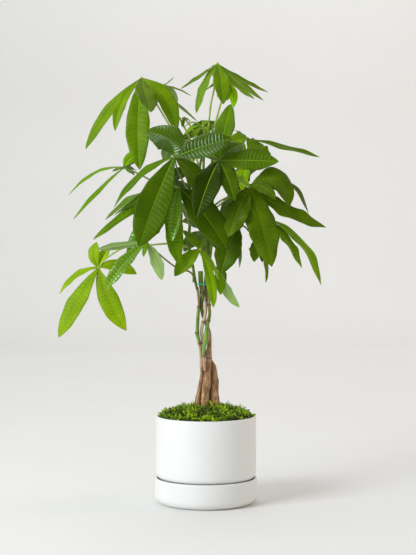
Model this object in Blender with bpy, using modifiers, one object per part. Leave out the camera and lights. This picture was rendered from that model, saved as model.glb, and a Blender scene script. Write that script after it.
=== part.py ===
"""A potted money tree: a glazed pot on its saucer, soil, moss, a twisted trunk, a tie and palmate leaves.

Metres, +Z up. The origin is the centre of the saucer's flat underside, and -Y is the plant's front.
"""

import math

import bmesh
import bpy
from mathutils import Quaternion, Vector

SEAT_GAP = 0.0003
MERGE_DISTANCE = 0.00005
TURNED_STEPS = 36

# Saucer
SAUCER_RADIUS = 0.084
SAUCER_FOOT_RADIUS = 0.0695
SAUCER_TOP = 0.042
SAUCER_WALL = 0.0042
SAUCER_FLOOR = 0.009
SAUCER_INNER_CORNER = 0.006

# Pot
POT_RADIUS = 0.0823
POT_FOOT_RADIUS = 0.072
POT_TOP = 0.1435
POT_WALL = 0.0036
POT_FLOOR = 0.006
POT_CORNER = 0.0128
POT_CORNER_TOP = 0.052
DRAIN_HOLE_RADIUS = 0.007

# Soil and moss
SOIL_TOP = 0.130
MOSS_EDGE_TOP = 0.1455
MOSS_TOP = 0.1595
MOSS_RINGS = 5

# Stems: the trunk's stems stand in the soil, and the cutters that make room for them end above the moss.
TRUNK_STEMS = ("stem_left", "stem_centre", "stem_right")
STEM_STEPS = 1
CUTTER_TOP = 0.19

# Stalks
STALK_STEPS = 2
STALK_BASE_RADIUS = 0.0017
STALK_END_RADIUS = 0.0012
STALK_START = 0.004

# Leaves. A blade's width follows t^rise (1 - t)^fall along its length, and its edges stand up by the fold.
HUB_RADIUS = 0.0034
BLADE_THICKNESS = 0.001
BLADE_LEAST_WIDTH = 0.001
BLADE_STEPS = 4
BLADE_START = 0.0021
BLADE_RISE = 1.05
BLADE_FALL = 0.85
BLADE_FOLD = 0.16
ARCH_AT = 0.42

# Tie
TIE_HEIGHT = 0.3592
TIE_WIRE_RADIUS = 0.0008
TIE_STEPS = 20
TIED_STEMS = ("stem_centre", "stem_right", "stem_front")

# Routes of the stems, bottom to top: x, y, z and radius.
STEMS = {
    "stem_left": [
        (-0.015, 0.004, 0.117, 0.0051),
        (-0.014, 0.004, 0.161, 0.0049),
        (-0.011, 0.005, 0.18, 0.0044),
        (-0.008, 0.005, 0.197, 0.004),
        (-0.006, 0.003, 0.212, 0.0035),
        (-0.007, 0.0, 0.225, 0.0031),
        (-0.008, -0.002, 0.242, 0.0028),
        (-0.01, -0.003, 0.26, 0.0029),
        (-0.014, -0.002, 0.278, 0.003),
        (-0.013, -0.001, 0.307, 0.0027),
        (-0.011, -0.001, 0.325, 0.0024),
        (-0.013, -0.003, 0.346, 0.0022),
        (-0.017, -0.001, 0.361, 0.0022),
        (-0.021, 0.0, 0.385, 0.0024),
        (-0.027, 0.001, 0.418, 0.0025),
        (-0.026, 0.003, 0.46, 0.0024),
        (-0.016, 0.003, 0.513, 0.0022),
        (-0.007, 0.001, 0.57, 0.002),
        (-0.003, -0.001, 0.604, 0.0017),
    ],
    "stem_centre": [
        (-0.001, -0.003, 0.118, 0.0066),
        (-0.001, -0.004, 0.162, 0.0065),
        (-0.001, -0.004, 0.182, 0.0067),
        (0.001, -0.005, 0.198, 0.0066),
        (0.002, -0.003, 0.212, 0.0061),
        (0.004, -0.001, 0.227, 0.0053),
        (0.005, 0.0, 0.24, 0.0047),
        (0.005, 0.001, 0.251, 0.0043),
        (0.006, 0.003, 0.266, 0.0033),
        (0.005, 0.006, 0.28, 0.0029),
        (0.001, 0.007, 0.292, 0.0028),
        (-0.005, 0.005, 0.307, 0.0028),
        (-0.007, 0.003, 0.323, 0.0029),
        (-0.006, 0.001, 0.341, 0.0034),
        (-0.008, 0.0, 0.359, 0.004),
        (-0.009, 0.0, 0.38, 0.0041),
    ],
    "stem_right": [
        (0.013, 0.004, 0.117, 0.0087),
        (0.013, 0.003, 0.161, 0.0085),
        (0.013, 0.004, 0.181, 0.0079),
        (0.014, 0.005, 0.197, 0.007),
        (0.012, 0.008, 0.221, 0.0049),
        (0.005, 0.01, 0.234, 0.0044),
        (-0.002, 0.008, 0.247, 0.0037),
        (-0.004, 0.004, 0.261, 0.003),
        (-0.007, 0.001, 0.277, 0.0028),
        (-0.006, 0.0, 0.292, 0.0027),
        (-0.002, -0.001, 0.305, 0.0026),
        (0.0, 0.0, 0.323, 0.0025),
        (0.0, 0.002, 0.341, 0.0025),
        (-0.001, 0.003, 0.359, 0.0024),
        (0.0, 0.007, 0.385, 0.0024),
        (-0.002, 0.011, 0.431, 0.0024),
        (-0.004, 0.014, 0.497, 0.0023),
        (-0.004, 0.013, 0.554, 0.0021),
        (0.0, 0.01, 0.616, 0.0018),
    ],
    "stem_front": [
        (-0.002, -0.011, 0.218, 0.0022),
        (-0.003, -0.01, 0.234, 0.0024),
        (-0.004, -0.01, 0.246, 0.0028),
        (-0.003, -0.01, 0.257, 0.0035),
        (-0.001, -0.009, 0.267, 0.0039),
        (0.001, -0.008, 0.28, 0.0038),
        (0.003, -0.006, 0.296, 0.003),
        (0.006, -0.004, 0.31, 0.0027),
        (0.005, -0.004, 0.327, 0.0025),
        (0.004, -0.004, 0.345, 0.0025),
        (0.003, -0.003, 0.359, 0.0024),
        (0.004, -0.002, 0.385, 0.0025),
        (0.008, -0.002, 0.415, 0.0025),
        (0.01, -0.001, 0.46, 0.0024),
        (0.011, 0.0, 0.521, 0.0022),
        (0.01, 0.001, 0.578, 0.002),
        (0.011, 0.002, 0.617, 0.0017),
    ],
}

# Each leaf names the stem that carries it, the height where its stalk leaves that stem, the points that the
# stalk passes, the hub at the stalk's end and the way its upper side faces. A leaflet is its tip, its full
# width, how far its middle lies from the straight line as x, y and z, and its roll in degrees.
LEAVES = {
    "leaf_top_left": {
        "stem": "stem_left",
        "leaves_at": 0.526,
        "stalk": [(-0.023, -0.004, 0.564), (-0.054, -0.005, 0.609), (-0.082, -0.003, 0.655)],
        "hub": (-0.105, 0.0, 0.694),
        "faces": (-0.35, -0.6, 0.7),
        "leaflets": [
            ((-0.197, 0.007, 0.579), 0.02, (-0.01, -0.004, 0.001), -24),
            ((-0.147, -0.02, 0.607), 0.018, (-0.011, -0.003, 0.002), -22),
            ((-0.106, -0.047, 0.544), 0.039, (-0.004, -0.005, -0.006), -15),
            ((-0.088, -0.061, 0.635), 0.038, (-0.001, -0.003, -0.001), -48),
            ((-0.048, -0.007, 0.606), 0.028, (0.012, -0.007, 0.008), -10),
            ((-0.013, 0.027, 0.625), 0.011, (0.005, -0.004, -0.001), -70),
            ((-0.092, 0.043, 0.65), 0.02, (0.001, 0.003, 0.003), -144),
        ],
    },
    "leaf_top_left_back": {
        "stem": "stem_right",
        "leaves_at": 0.545,
        "stalk": [(-0.026, 0.027, 0.596), (-0.051, 0.035, 0.646)],
        "hub": (-0.07, 0.038, 0.686),
        "faces": (0.1, 0.4, 0.85),
        "leaflets": [
            ((-0.055, 0.099, 0.705), 0.006, (0.001, 0.001, 0.0), -19),
            ((-0.024, 0.072, 0.671), 0.007, (0.002, 0.001, 0.002), 52),
            ((-0.095, 0.092, 0.65), 0.025, (-0.001, 0.004, 0.007), 0),
            ((-0.054, 0.092, 0.647), 0.025, (0.001, 0.004, 0.007), 0),
            ((-0.099, 0.119, 0.679), 0.023, (0.0, 0.001, 0.008), 0),
        ],
    },
    "leaf_top_right": {
        "stem": "stem_right",
        "leaves_at": 0.612,
        "stalk": [(0.008, 0.02, 0.653), (0.014, 0.026, 0.682)],
        "hub": (0.019, 0.027, 0.72),
        "faces": (0.1, -0.3, 0.95),
        "leaflets": [
            ((-0.042, 0.034, 0.68), 0.013, (-0.003, -0.001, -0.003), -11),
            ((-0.016, 0.02, 0.639), 0.021, (-0.005, -0.002, 0.003), 16),
            ((0.028, -0.013, 0.651), 0.028, (0.001, -0.003, 0.002), -2),
            ((0.103, 0.041, 0.675), 0.013, (0.002, -0.001, -0.005), 22),
            ((0.094, 0.011, 0.659), 0.018, (0.003, -0.001, -0.004), 6),
            ((0.081, 0.057, 0.665), 0.018, (0.001, -0.001, -0.005), 38),
            ((0.015, 0.108, 0.702), 0.018, (0.0, 0.001, 0.003), 0),
        ],
    },
    "leaf_top_middle": {
        "stem": "stem_front",
        "leaves_at": 0.616,
        "stalk": [(0.025, 0.032, 0.657), (0.03, 0.045, 0.678)],
        "hub": (0.033, 0.051, 0.696),
        "faces": (0.1, 0.2, 0.95),
        "leaflets": [
            ((-0.001, 0.065, 0.68), 0.013, (-0.001, 0.0, 0.001), -50),
            ((0.035, 0.032, 0.66), 0.016, (0.001, -0.003, 0.002), 9),
            ((0.046, 0.051, 0.65), 0.015, (0.005, 0.001, 0.001), 106),
            ((0.063, 0.105, 0.678), 0.02, (0.001, 0.001, 0.005), 66),
            ((0.019, 0.112, 0.672), 0.018, (0.0, 0.002, 0.005), -120),
        ],
    },
    "leaf_young": {
        "stem": "stem_left",
        "leaves_at": 0.599,
        "stalk": [(-0.004, -0.004, 0.609)],
        "hub": (-0.006, -0.008, 0.615),
        "faces": (0.0, -0.5, 0.85),
        "leaflets": [
            ((-0.037, -0.008, 0.613), 0.011, (-0.001, -0.001, 0.008), 20),
            ((-0.033, -0.022, 0.601), 0.011, (-0.002, -0.002, 0.006), 10),
            ((-0.021, -0.03, 0.595), 0.011, (-0.001, -0.003, 0.004), 0),
            ((0.005, -0.024, 0.595), 0.01, (0.002, -0.003, 0.003), 0),
            ((0.007, 0.011, 0.625), 0.01, (-0.001, -0.002, 0.004), 0),
        ],
    },
    "leaf_bud": {
        "stem": "stem_left",
        "leaves_at": 0.59,
        "stalk": [(-0.022, 0.007, 0.612)],
        "hub": (-0.035, 0.011, 0.63),
        "faces": (-0.3, -0.3, 0.9),
        "leaflets": [
            ((-0.038, 0.004, 0.615), 0.007, (-0.001, -0.002, 0.001), 0),
            ((-0.025, 0.015, 0.623), 0.007, (0.001, 0.0, 0.002), 0),
            ((-0.043, 0.019, 0.627), 0.007, (0.0, 0.0, 0.002), 0),
        ],
    },
    "leaf_centre": {
        "stem": "stem_front",
        "leaves_at": 0.529,
        "stalk": [(0.014, -0.041, 0.543)],
        "hub": (0.021, -0.068, 0.558),
        "faces": (0.1, -0.75, 0.65),
        "leaflets": [
            ((0.04, -0.024, 0.651), 0.033, (-0.001, -0.003, 0.001), -23),
            ((0.115, -0.081, 0.556), 0.036, (0.0, 0.0, 0.001), 19),
            ((0.06, -0.016, 0.587), 0.028, (-0.001, -0.002, 0.004), 1),
            ((-0.014, -0.115, 0.468), 0.044, (-0.002, -0.004, 0.003), 9),
            ((0.045, -0.095, 0.494), 0.029, (0.002, -0.004, 0.002), -1),
            ((-0.005, -0.038, 0.573), 0.021, (0.0, -0.001, 0.003), -9),
        ],
    },
    "leaf_front_left": {
        "stem": "stem_left",
        "leaves_at": 0.496,
        "stalk": [(-0.029, -0.03, 0.512), (-0.044, -0.065, 0.54)],
        "hub": (-0.05, -0.084, 0.563),
        "faces": (-0.2, -0.75, 0.65),
        "leaflets": [
            ((-0.096, -0.062, 0.604), 0.051, (0.012, -0.002, 0.008), 3),
            ((0.041, -0.088, 0.592), 0.039, (0.004, -0.004, 0.003), 23),
            ((-0.147, -0.057, 0.484), 0.023, (-0.007, -0.001, 0.009), 15),
            ((-0.104, -0.111, 0.422), 0.054, (-0.005, -0.006, -0.006), -19),
            ((0.01, -0.038, 0.488), 0.035, (0.004, 0.002, 0.005), 7),
            ((-0.135, -0.054, 0.481), 0.023, (0.007, -0.005, -0.008), 6),
        ],
    },
    "leaf_front_low": {
        "stem": "stem_left",
        "leaves_at": 0.457,
        "stalk": [(-0.032, -0.03, 0.475), (-0.042, -0.057, 0.496)],
        "hub": (-0.043, -0.068, 0.515),
        "faces": (-0.1, -0.8, 0.6),
        "leaflets": [
            ((-0.053, -0.097, 0.43), 0.023, (-0.001, -0.004, 0.002), 7),
            ((0.035, -0.084, 0.415), 0.049, (0.004, -0.003, 0.004), 0),
            ((-0.042, -0.073, 0.393), 0.029, (-0.008, -0.005, -0.008), -20),
            ((-0.127, -0.061, 0.406), 0.036, (-0.003, -0.001, 0.002), -6),
        ],
    },
    "leaf_left_low": {
        "stem": "stem_left",
        "leaves_at": 0.364,
        "stalk": [(-0.021, -0.008, 0.373), (-0.028, -0.013, 0.38), (-0.048, -0.034, 0.387), (-0.081, -0.068, 0.415)],
        "hub": (-0.094, -0.084, 0.429),
        "faces": (-0.3, -0.8, 0.5),
        "leaflets": [
            ((-0.069, -0.092, 0.369), 0.021, (0.003, -0.003, -0.001), -158),
            ((-0.098, -0.103, 0.406), 0.008, (0.0, -0.001, 0.001), -6),
            ((-0.159, -0.1, 0.352), 0.023, (-0.007, -0.004, 0.0), -13),
            ((-0.063, -0.09, 0.464), 0.023, (-0.004, -0.001, 0.003), 7),
            ((-0.173, -0.068, 0.417), 0.015, (-0.003, -0.003, 0.0), 107),
        ],
    },
    "leaf_bottom_left": {
        "stem": "stem_left",
        "leaves_at": 0.421,
        "stalk": [(-0.059, -0.008, 0.425), (-0.091, -0.016, 0.423), (-0.129, -0.024, 0.42), (-0.158, -0.027, 0.404)],
        "hub": (-0.174, -0.027, 0.387),
        "faces": (-0.3, -0.8, 0.5),
        "leaflets": [
            ((-0.177, -0.02, 0.428), 0.02, (-0.006, -0.002, 0.002), 0),
            ((-0.156, -0.011, 0.421), 0.018, (-0.002, -0.002, 0.002), 0),
            ((-0.112, -0.024, 0.376), 0.023, (0.001, -0.002, 0.008), 0),
            ((-0.239, -0.013, 0.343), 0.018, (-0.006, -0.002, 0.008), 20),
            ((-0.237, -0.047, 0.275), 0.033, (-0.005, -0.005, -0.004), 0),
            ((-0.128, -0.047, 0.286), 0.033, (-0.004, -0.005, -0.004), 0),
        ],
    },
    "leaf_left_inner": {
        "stem": "stem_left",
        "leaves_at": 0.477,
        "stalk": [(-0.046, -0.013, 0.498)],
        "hub": (-0.066, -0.027, 0.507),
        "faces": (-0.4, -0.5, 0.7),
        "leaflets": [
            ((-0.163, -0.02, 0.464), 0.025, (-0.005, -0.001, 0.01), 3),
            ((-0.15, -0.003, 0.471), 0.015, (-0.003, -0.001, 0.007), 13),
            ((-0.182, -0.032, 0.432), 0.02, (-0.007, -0.004, 0.002), -10),
            ((-0.087, -0.038, 0.441), 0.025, (-0.004, -0.003, 0.002), -23),
        ],
    },
    "leaf_far_left": {
        "stem": "stem_left",
        "leaves_at": 0.467,
        "stalk": [(-0.056, 0.005, 0.51), (-0.091, 0.013, 0.529), (-0.112, 0.016, 0.54)],
        "hub": (-0.135, 0.016, 0.55),
        "faces": (-0.4, -0.3, 0.85),
        "leaflets": [
            ((-0.226, 0.023, 0.505), 0.01, (-0.005, -0.002, 0.012), -13),
            ((-0.217, 0.005, 0.465), 0.011, (-0.005, -0.002, -0.001), -21),
            ((-0.151, -0.022, 0.542), 0.007, (-0.001, -0.001, 0.001), -33),
            ((-0.116, -0.016, 0.536), 0.011, (0.0, -0.001, 0.002), -28),
            ((-0.109, 0.032, 0.579), 0.018, (-0.002, -0.001, 0.002), 46),
            ((-0.11, 0.057, 0.566), 0.015, (-0.001, -0.001, 0.003), 49),
            ((-0.116, 0.062, 0.546), 0.015, (0.0, 0.0, 0.003), 56),
        ],
    },
    "leaf_right": {
        "stem": "stem_front",
        "leaves_at": 0.487,
        "stalk": [(0.026, -0.03, 0.496), (0.051, -0.054, 0.507)],
        "hub": (0.07, -0.065, 0.516),
        "faces": (0.4, -0.65, 0.6),
        "leaflets": [
            ((0.133, -0.065, 0.485), 0.041, (0.013, -0.006, 0.027), 11),
            ((0.109, -0.097, 0.496), 0.02, (0.002, -0.003, 0.009), 31),
            ((0.165, -0.038, 0.475), 0.02, (0.013, -0.003, 0.027), -17),
            ((0.193, -0.041, 0.452), 0.028, (-0.003, 0.001, -0.005), 11),
            ((0.104, -0.085, 0.39), 0.047, (0.002, -0.002, 0.001), 25),
            ((0.035, -0.084, 0.437), 0.038, (-0.002, -0.003, 0.001), 25),
            ((0.038, -0.046, 0.538), 0.02, (0.0, 0.0, 0.001), -1),
        ],
    },
    "leaf_far_right": {
        "stem": "stem_front",
        "leaves_at": 0.438,
        "stalk": [(0.048, 0.008, 0.454), (0.076, 0.013, 0.465)],
        "hub": (0.095, 0.016, 0.469),
        "faces": (0.5, 0.1, 0.85),
        "leaflets": [
            ((0.189, 0.016, 0.357), 0.02, (0.019, 0.001, 0.008), 43),
            ((0.157, 0.003, 0.385), 0.021, (0.006, -0.001, 0.005), 43),
            ((0.114, 0.07, 0.417), 0.023, (0.003, 0.005, 0.006), 97),
            ((0.094, 0.057, 0.393), 0.023, (0.002, 0.006, 0.003), 158),
            ((0.088, 0.084, 0.492), 0.018, (0.001, -0.002, 0.006), -26),
        ],
    },
    "leaf_right_low": {
        "stem": "stem_front",
        "leaves_at": 0.426,
        "stalk": [(0.031, -0.011, 0.446), (0.058, -0.019, 0.455), (0.075, -0.02, 0.439)],
        "hub": (0.081, -0.022, 0.435),
        "faces": (0.4, -0.5, 0.75),
        "leaflets": [
            ((0.078, -0.03, 0.396), 0.018, (0.0, -0.002, 0.0), 45),
            ((0.097, -0.019, 0.362), 0.01, (0.008, -0.002, -0.002), 1),
            ((0.091, -0.011, 0.395), 0.013, (0.004, 0.001, 0.001), 42),
            ((0.11, 0.005, 0.416), 0.015, (0.002, 0.001, 0.004), 48),
        ],
    },
    "leaf_centre_low": {
        "stem": "stem_front",
        "leaves_at": 0.454,
        "stalk": [(0.027, -0.03, 0.461)],
        "hub": (0.051, -0.046, 0.461),
        "faces": (0.1, -0.8, 0.6),
        "leaflets": [
            ((0.024, -0.059, 0.378), 0.042, (-0.001, -0.001, 0.0), 10),
            ((0.054, -0.041, 0.387), 0.007, (0.002, -0.003, -0.006), -130),
            ((0.042, -0.024, 0.396), 0.018, (-0.003, 0.003, 0.002), 23),
            ((0.032, -0.016, 0.488), 0.02, (0.001, -0.003, 0.004), 3),
        ],
    },
    "leaf_bottom_middle": {
        "stem": "stem_front",
        "leaves_at": 0.395,
        "stalk": [(0.0, -0.03, 0.407)],
        "hub": (-0.009, -0.054, 0.417),
        "faces": (-0.1, -0.75, 0.65),
        "leaflets": [
            ((-0.05, -0.061, 0.374), 0.026, (-0.002, -0.001, 0.002), -13),
            ((0.012, -0.062, 0.324), 0.017, (0.006, -0.004, -0.004), -17),
            ((0.021, -0.035, 0.367), 0.01, (0.003, 0.0, 0.002), -26),
            ((-0.037, -0.035, 0.447), 0.016, (0.001, -0.002, 0.002), 9),
            ((-0.002, -0.043, 0.435), 0.01, (-0.001, -0.001, 0.001), -11),
        ],
    },
    "leaf_bottom_small": {
        "stem": "stem_front",
        "leaves_at": 0.371,
        "stalk": [(0.011, -0.005, 0.382)],
        "hub": (0.018, -0.008, 0.386),
        "faces": (0.2, -0.6, 0.75),
        "leaflets": [
            ((0.024, -0.016, 0.342), 0.018, (0.001, -0.001, 0.0), 3),
            ((0.055, -0.005, 0.321), 0.018, (-0.003, -0.002, -0.005), -107),
            ((0.033, 0.019, 0.362), 0.01, (0.002, 0.002, 0.004), 52),
        ],
    },
    "leaf_back_upper": {
        "stem": "stem_right",
        "leaves_at": 0.519,
        "stalk": [(0.01, 0.032, 0.543), (0.04, 0.046, 0.56)],
        "hub": (0.067, 0.054, 0.577),
        "faces": (0.0, 0.3, 0.95),
        "leaflets": [
            ((0.059, 0.032, 0.512), 0.023, (-0.001, -0.001, 0.001), -63),
            ((-0.003, 0.068, 0.543), 0.025, (-0.001, 0.001, 0.003), -90),
            ((0.087, 0.108, 0.554), 0.023, (0.001, 0.002, 0.006), 116),
            ((0.027, 0.121, 0.601), 0.023, (0.001, -0.001, 0.006), -49),
            ((0.051, 0.121, 0.556), 0.023, (0.0, 0.002, 0.008), -106),
        ],
    },
    "leaf_upper_right": {
        "stem": "stem_front",
        "leaves_at": 0.509,
        "stalk": [(0.031, 0.011, 0.529), (0.059, 0.024, 0.554), (0.069, 0.028, 0.578)],
        "hub": (0.068, 0.03, 0.598),
        "faces": (0.3, -0.1, 0.9),
        "leaflets": [
            ((0.188, 0.036, 0.568), 0.016, (0.005, -0.001, 0.0), 25),
            ((0.101, -0.011, 0.552), 0.033, (0.002, 0.0, -0.001), 48),
            ((0.047, 0.043, 0.613), 0.007, (0.0, 0.0, 0.001), -18),
            ((0.04, 0.011, 0.593), 0.021, (0.0, 0.0, 0.002), -39),
            ((0.095, 0.089, 0.579), 0.023, (0.001, 0.0, -0.003), 58),
        ],
    },
    "leaf_back_left": {
        "stem": "stem_right",
        "leaves_at": 0.488,
        "stalk": [(-0.027, 0.061, 0.505)],
        "hub": (-0.065, 0.101, 0.527),
        "faces": (-0.3, 0.8, 0.5),
        "leaflets": [
            ((-0.084, 0.117, 0.511), 0.025, (-0.002, 0.002, 0.004), 0),
            ((-0.093, 0.135, 0.484), 0.029, (-0.002, 0.004, 0.005), 0),
            ((-0.104, 0.148, 0.443), 0.036, (-0.004, 0.007, 0.006), 0),
            ((-0.052, 0.175, 0.422), 0.036, (0.0, 0.009, 0.007), 0),
            ((-0.018, 0.182, 0.485), 0.029, (0.0, 0.004, 0.009), 0),
            ((-0.024, 0.131, 0.548), 0.026, (-0.002, 0.0, 0.004), 0),
        ],
    },
    "leaf_back_right": {
        "stem": "stem_right",
        "leaves_at": 0.47,
        "stalk": [(0.023, 0.057, 0.489)],
        "hub": (0.054, 0.095, 0.514),
        "faces": (0.3, 0.8, 0.5),
        "leaflets": [
            ((0.019, 0.142, 0.562), 0.026, (0.004, -0.002, 0.005), 0),
            ((0.091, 0.135, 0.553), 0.029, (-0.004, -0.003, 0.007), 0),
            ((0.111, 0.162, 0.49), 0.033, (0.001, 0.003, 0.013), 0),
            ((0.087, 0.162, 0.432), 0.036, (0.003, 0.008, 0.008), 0),
            ((0.028, 0.182, 0.435), 0.033, (0.0, 0.007, 0.007), 0),
        ],
    },
    "leaf_back_low": {
        "stem": "stem_right",
        "leaves_at": 0.421,
        "stalk": [(-0.002, 0.043, 0.43)],
        "hub": (-0.005, 0.076, 0.443),
        "faces": (0.0, 0.85, 0.5),
        "leaflets": [
            ((-0.038, 0.123, 0.409), 0.025, (-0.001, 0.003, 0.006), 0),
            ((0.0, 0.136, 0.391), 0.028, (0.0, 0.005, 0.006), 0),
            ((0.034, 0.123, 0.405), 0.025, (0.001, 0.003, 0.005), 0),
            ((-0.041, 0.136, 0.46), 0.023, (0.002, -0.001, 0.006), 0),
            ((0.028, 0.15, 0.46), 0.023, (-0.001, -0.001, 0.006), 0),
        ],
    },
    "leaf_back_high": {
        "stem": "stem_right",
        "leaves_at": 0.562,
        "stalk": [(-0.017, 0.038, 0.576)],
        "hub": (-0.04, 0.062, 0.598),
        "faces": (-0.1, 0.6, 0.8),
        "leaflets": [
            ((-0.078, 0.103, 0.589), 0.026, (0.0, 0.001, 0.008), 0),
            ((-0.071, 0.096, 0.562), 0.029, (-0.003, 0.005, 0.008), 0),
            ((-0.024, 0.143, 0.557), 0.029, (0.0, 0.004, 0.009), 0),
            ((0.021, 0.13, 0.631), 0.025, (-0.001, -0.001, 0.003), 91),
        ],
    },
}

# Colour, roughness and metallic value of each material.
FINISHES = {
    "glaze": ((0.86, 0.85, 0.83), 0.35, 0.0),
    "soil": ((0.05, 0.032, 0.02), 0.95, 0.0),
    "moss": ((0.10, 0.24, 0.02), 0.9, 0.0),
    "bark": ((0.30, 0.19, 0.11), 0.7, 0.0),
    "green_stem": ((0.10, 0.22, 0.05), 0.5, 0.0),
    "tie": ((0.02, 0.45, 0.38), 0.4, 0.0),
    "leaf": ((0.06, 0.20, 0.02), 0.4, 0.0),
}


def clear_scene():
    for thing in list(bpy.data.objects):
        bpy.data.objects.remove(thing, do_unlink=True)


def new_collection(name):
    made = bpy.data.collections.new(name)
    bpy.context.scene.collection.children.link(made)
    return made


def finish(name):
    """The material of this name, made on first use."""
    made = bpy.data.materials.get(name)
    if made is None:
        colour, roughness, metallic = FINISHES[name]
        made = bpy.data.materials.new(name)
        made.use_nodes = True
        shader = made.node_tree.nodes["Principled BSDF"]
        shader.inputs["Base Color"].default_value = (*colour, 1.0)
        shader.inputs["Roughness"].default_value = roughness
        shader.inputs["Metallic"].default_value = metallic
        made.diffuse_color = (*colour, 1.0)
    return made


def add_object(name, data, collection, material=None):
    """A sub-part, or, with no material, a helper that only cuts or joins one."""
    made = bpy.data.objects.new(name, data)
    collection.objects.link(made)
    if material:
        data.materials.append(finish(material))
    else:
        made.hide_render = True
        made.display_type = "WIRE"
    return made


def boolean(target, operation, helpers):
    """A Boolean on target with every object of a collection of helpers."""
    modifier = target.modifiers.new(helpers.name, "BOOLEAN")
    modifier.operation = operation
    modifier.solver = "EXACT"
    modifier.operand_type = "COLLECTION"
    modifier.collection = helpers


# Turned pieces


def arc(centre, radius, start, end, steps):
    """Profile points (r, z) on an arc. Angles are in degrees: 0 points outward and 90 up."""
    angles = [math.radians(start + (end - start) * i / steps) for i in range(steps + 1)]
    return [(centre[0] + radius * math.cos(a), centre[1] + radius * math.sin(a)) for a in angles]


def turned(name, profile, collection, material):
    """A solid turned about Z. Its profile runs down its outer side, and closes on itself or on the axis."""
    edges = [(i, i + 1) for i in range(len(profile) - 1)]
    if profile[0][0] > 0:
        edges.append((len(profile) - 1, 0))
    mesh = bpy.data.meshes.new(name)
    mesh.from_pydata([(r, 0, z) for r, z in profile], edges, [])
    made = add_object(name, mesh, collection, material)
    screw = made.modifiers.new("Turn", "SCREW")
    screw.axis = "Z"
    screw.steps = TURNED_STEPS
    screw.render_steps = TURNED_STEPS
    screw.use_merge_vertices = True
    screw.merge_threshold = MERGE_DISTANCE
    screw.use_smooth_shade = True
    return made


def make_saucer(collection):
    """A plain wall with a rounded rim, and one soft corner from the wall down to the foot."""
    inside = SAUCER_RADIUS - SAUCER_WALL
    rim = SAUCER_WALL / 2
    corner = SAUCER_RADIUS - SAUCER_FOOT_RADIUS
    hollow = SAUCER_INNER_CORNER
    profile = [(0, SAUCER_FLOOR)]
    profile += arc((inside - hollow, SAUCER_FLOOR + hollow), hollow, -90, 0, 2)
    profile += arc((inside + rim, SAUCER_TOP - rim), rim, 180, 0, 4)
    profile += arc((SAUCER_FOOT_RADIUS, corner), corner, 0, -90, 4)
    profile += [(0, 0)]
    return turned("saucer", profile, collection, "glaze")


def make_pot(collection):
    """A straight wall turns in at a round corner to a narrower foot, which stands on the saucer's floor."""
    bottom = SAUCER_FLOOR + SEAT_GAP
    inside = POT_RADIUS - POT_WALL
    rim = POT_WALL / 2
    corner_middle = POT_RADIUS - POT_CORNER
    profile = arc((inside + rim, POT_TOP - rim), rim, 180, 0, 4)
    profile += arc((corner_middle, POT_CORNER_TOP), POT_CORNER, 0, -72, 3)
    profile += [(POT_FOOT_RADIUS, POT_CORNER_TOP - POT_CORNER), (POT_FOOT_RADIUS, bottom)]
    profile += [(DRAIN_HOLE_RADIUS, bottom), (DRAIN_HOLE_RADIUS, bottom + POT_FLOOR)]
    profile += [(POT_FOOT_RADIUS - POT_WALL, bottom + POT_FLOOR)]
    profile += [(POT_FOOT_RADIUS - POT_WALL, POT_CORNER_TOP - POT_CORNER + POT_WALL)]
    profile += [(inside, POT_CORNER_TOP)]
    return turned("pot", profile, collection, "glaze")


def make_soil(collection, trunk_cutters):
    """It fills the pot, and the trunk's stems stand in it."""
    low = SAUCER_FLOOR + POT_FLOOR + 2 * SEAT_GAP
    narrow = POT_FOOT_RADIUS - POT_WALL - SEAT_GAP
    wide = POT_RADIUS - POT_WALL - SEAT_GAP
    shoulder = POT_CORNER_TOP - POT_CORNER + POT_WALL
    profile = [(0, SOIL_TOP), (wide, SOIL_TOP), (wide, POT_CORNER_TOP + SEAT_GAP)]
    profile += [(narrow, shoulder + SEAT_GAP), (narrow, low), (0, low)]
    made = turned("soil", profile, collection, "soil")
    boolean(made, "DIFFERENCE", trunk_cutters)


def make_moss(collection, trunk_cutters):
    """A low mound on the soil, highest round the trunk."""
    radius = POT_RADIUS - POT_WALL - SEAT_GAP
    low = SOIL_TOP + SEAT_GAP
    profile = []
    for i in range(MOSS_RINGS + 1):
        out = i / MOSS_RINGS
        profile.append((radius * out, MOSS_EDGE_TOP + (MOSS_TOP - MOSS_EDGE_TOP) * (1 - out**2)))
    profile += [(radius, low), (0, low)]
    made = turned("moss", profile, collection, "moss")
    boolean(made, "DIFFERENCE", trunk_cutters)


# Stems and stalks


def smooth(points, steps):
    """A Catmull-Rom curve through the points, with this many steps from each to the next."""
    points = [Vector(p) for p in points]
    row = [2 * points[0] - points[1], *points, 2 * points[-1] - points[-2]]
    found = []
    for a, b, c, d in zip(row, row[1:], row[2:], row[3:]):
        for i in range(steps):
            t = i / steps
            turn = (2 * a - 5 * b + 4 * c - d) * t**2 + (3 * b - a - 3 * c + d) * t**3
            found.append((2 * b + (c - a) * t + turn) / 2)
    return [*found, points[-1]]


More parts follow.
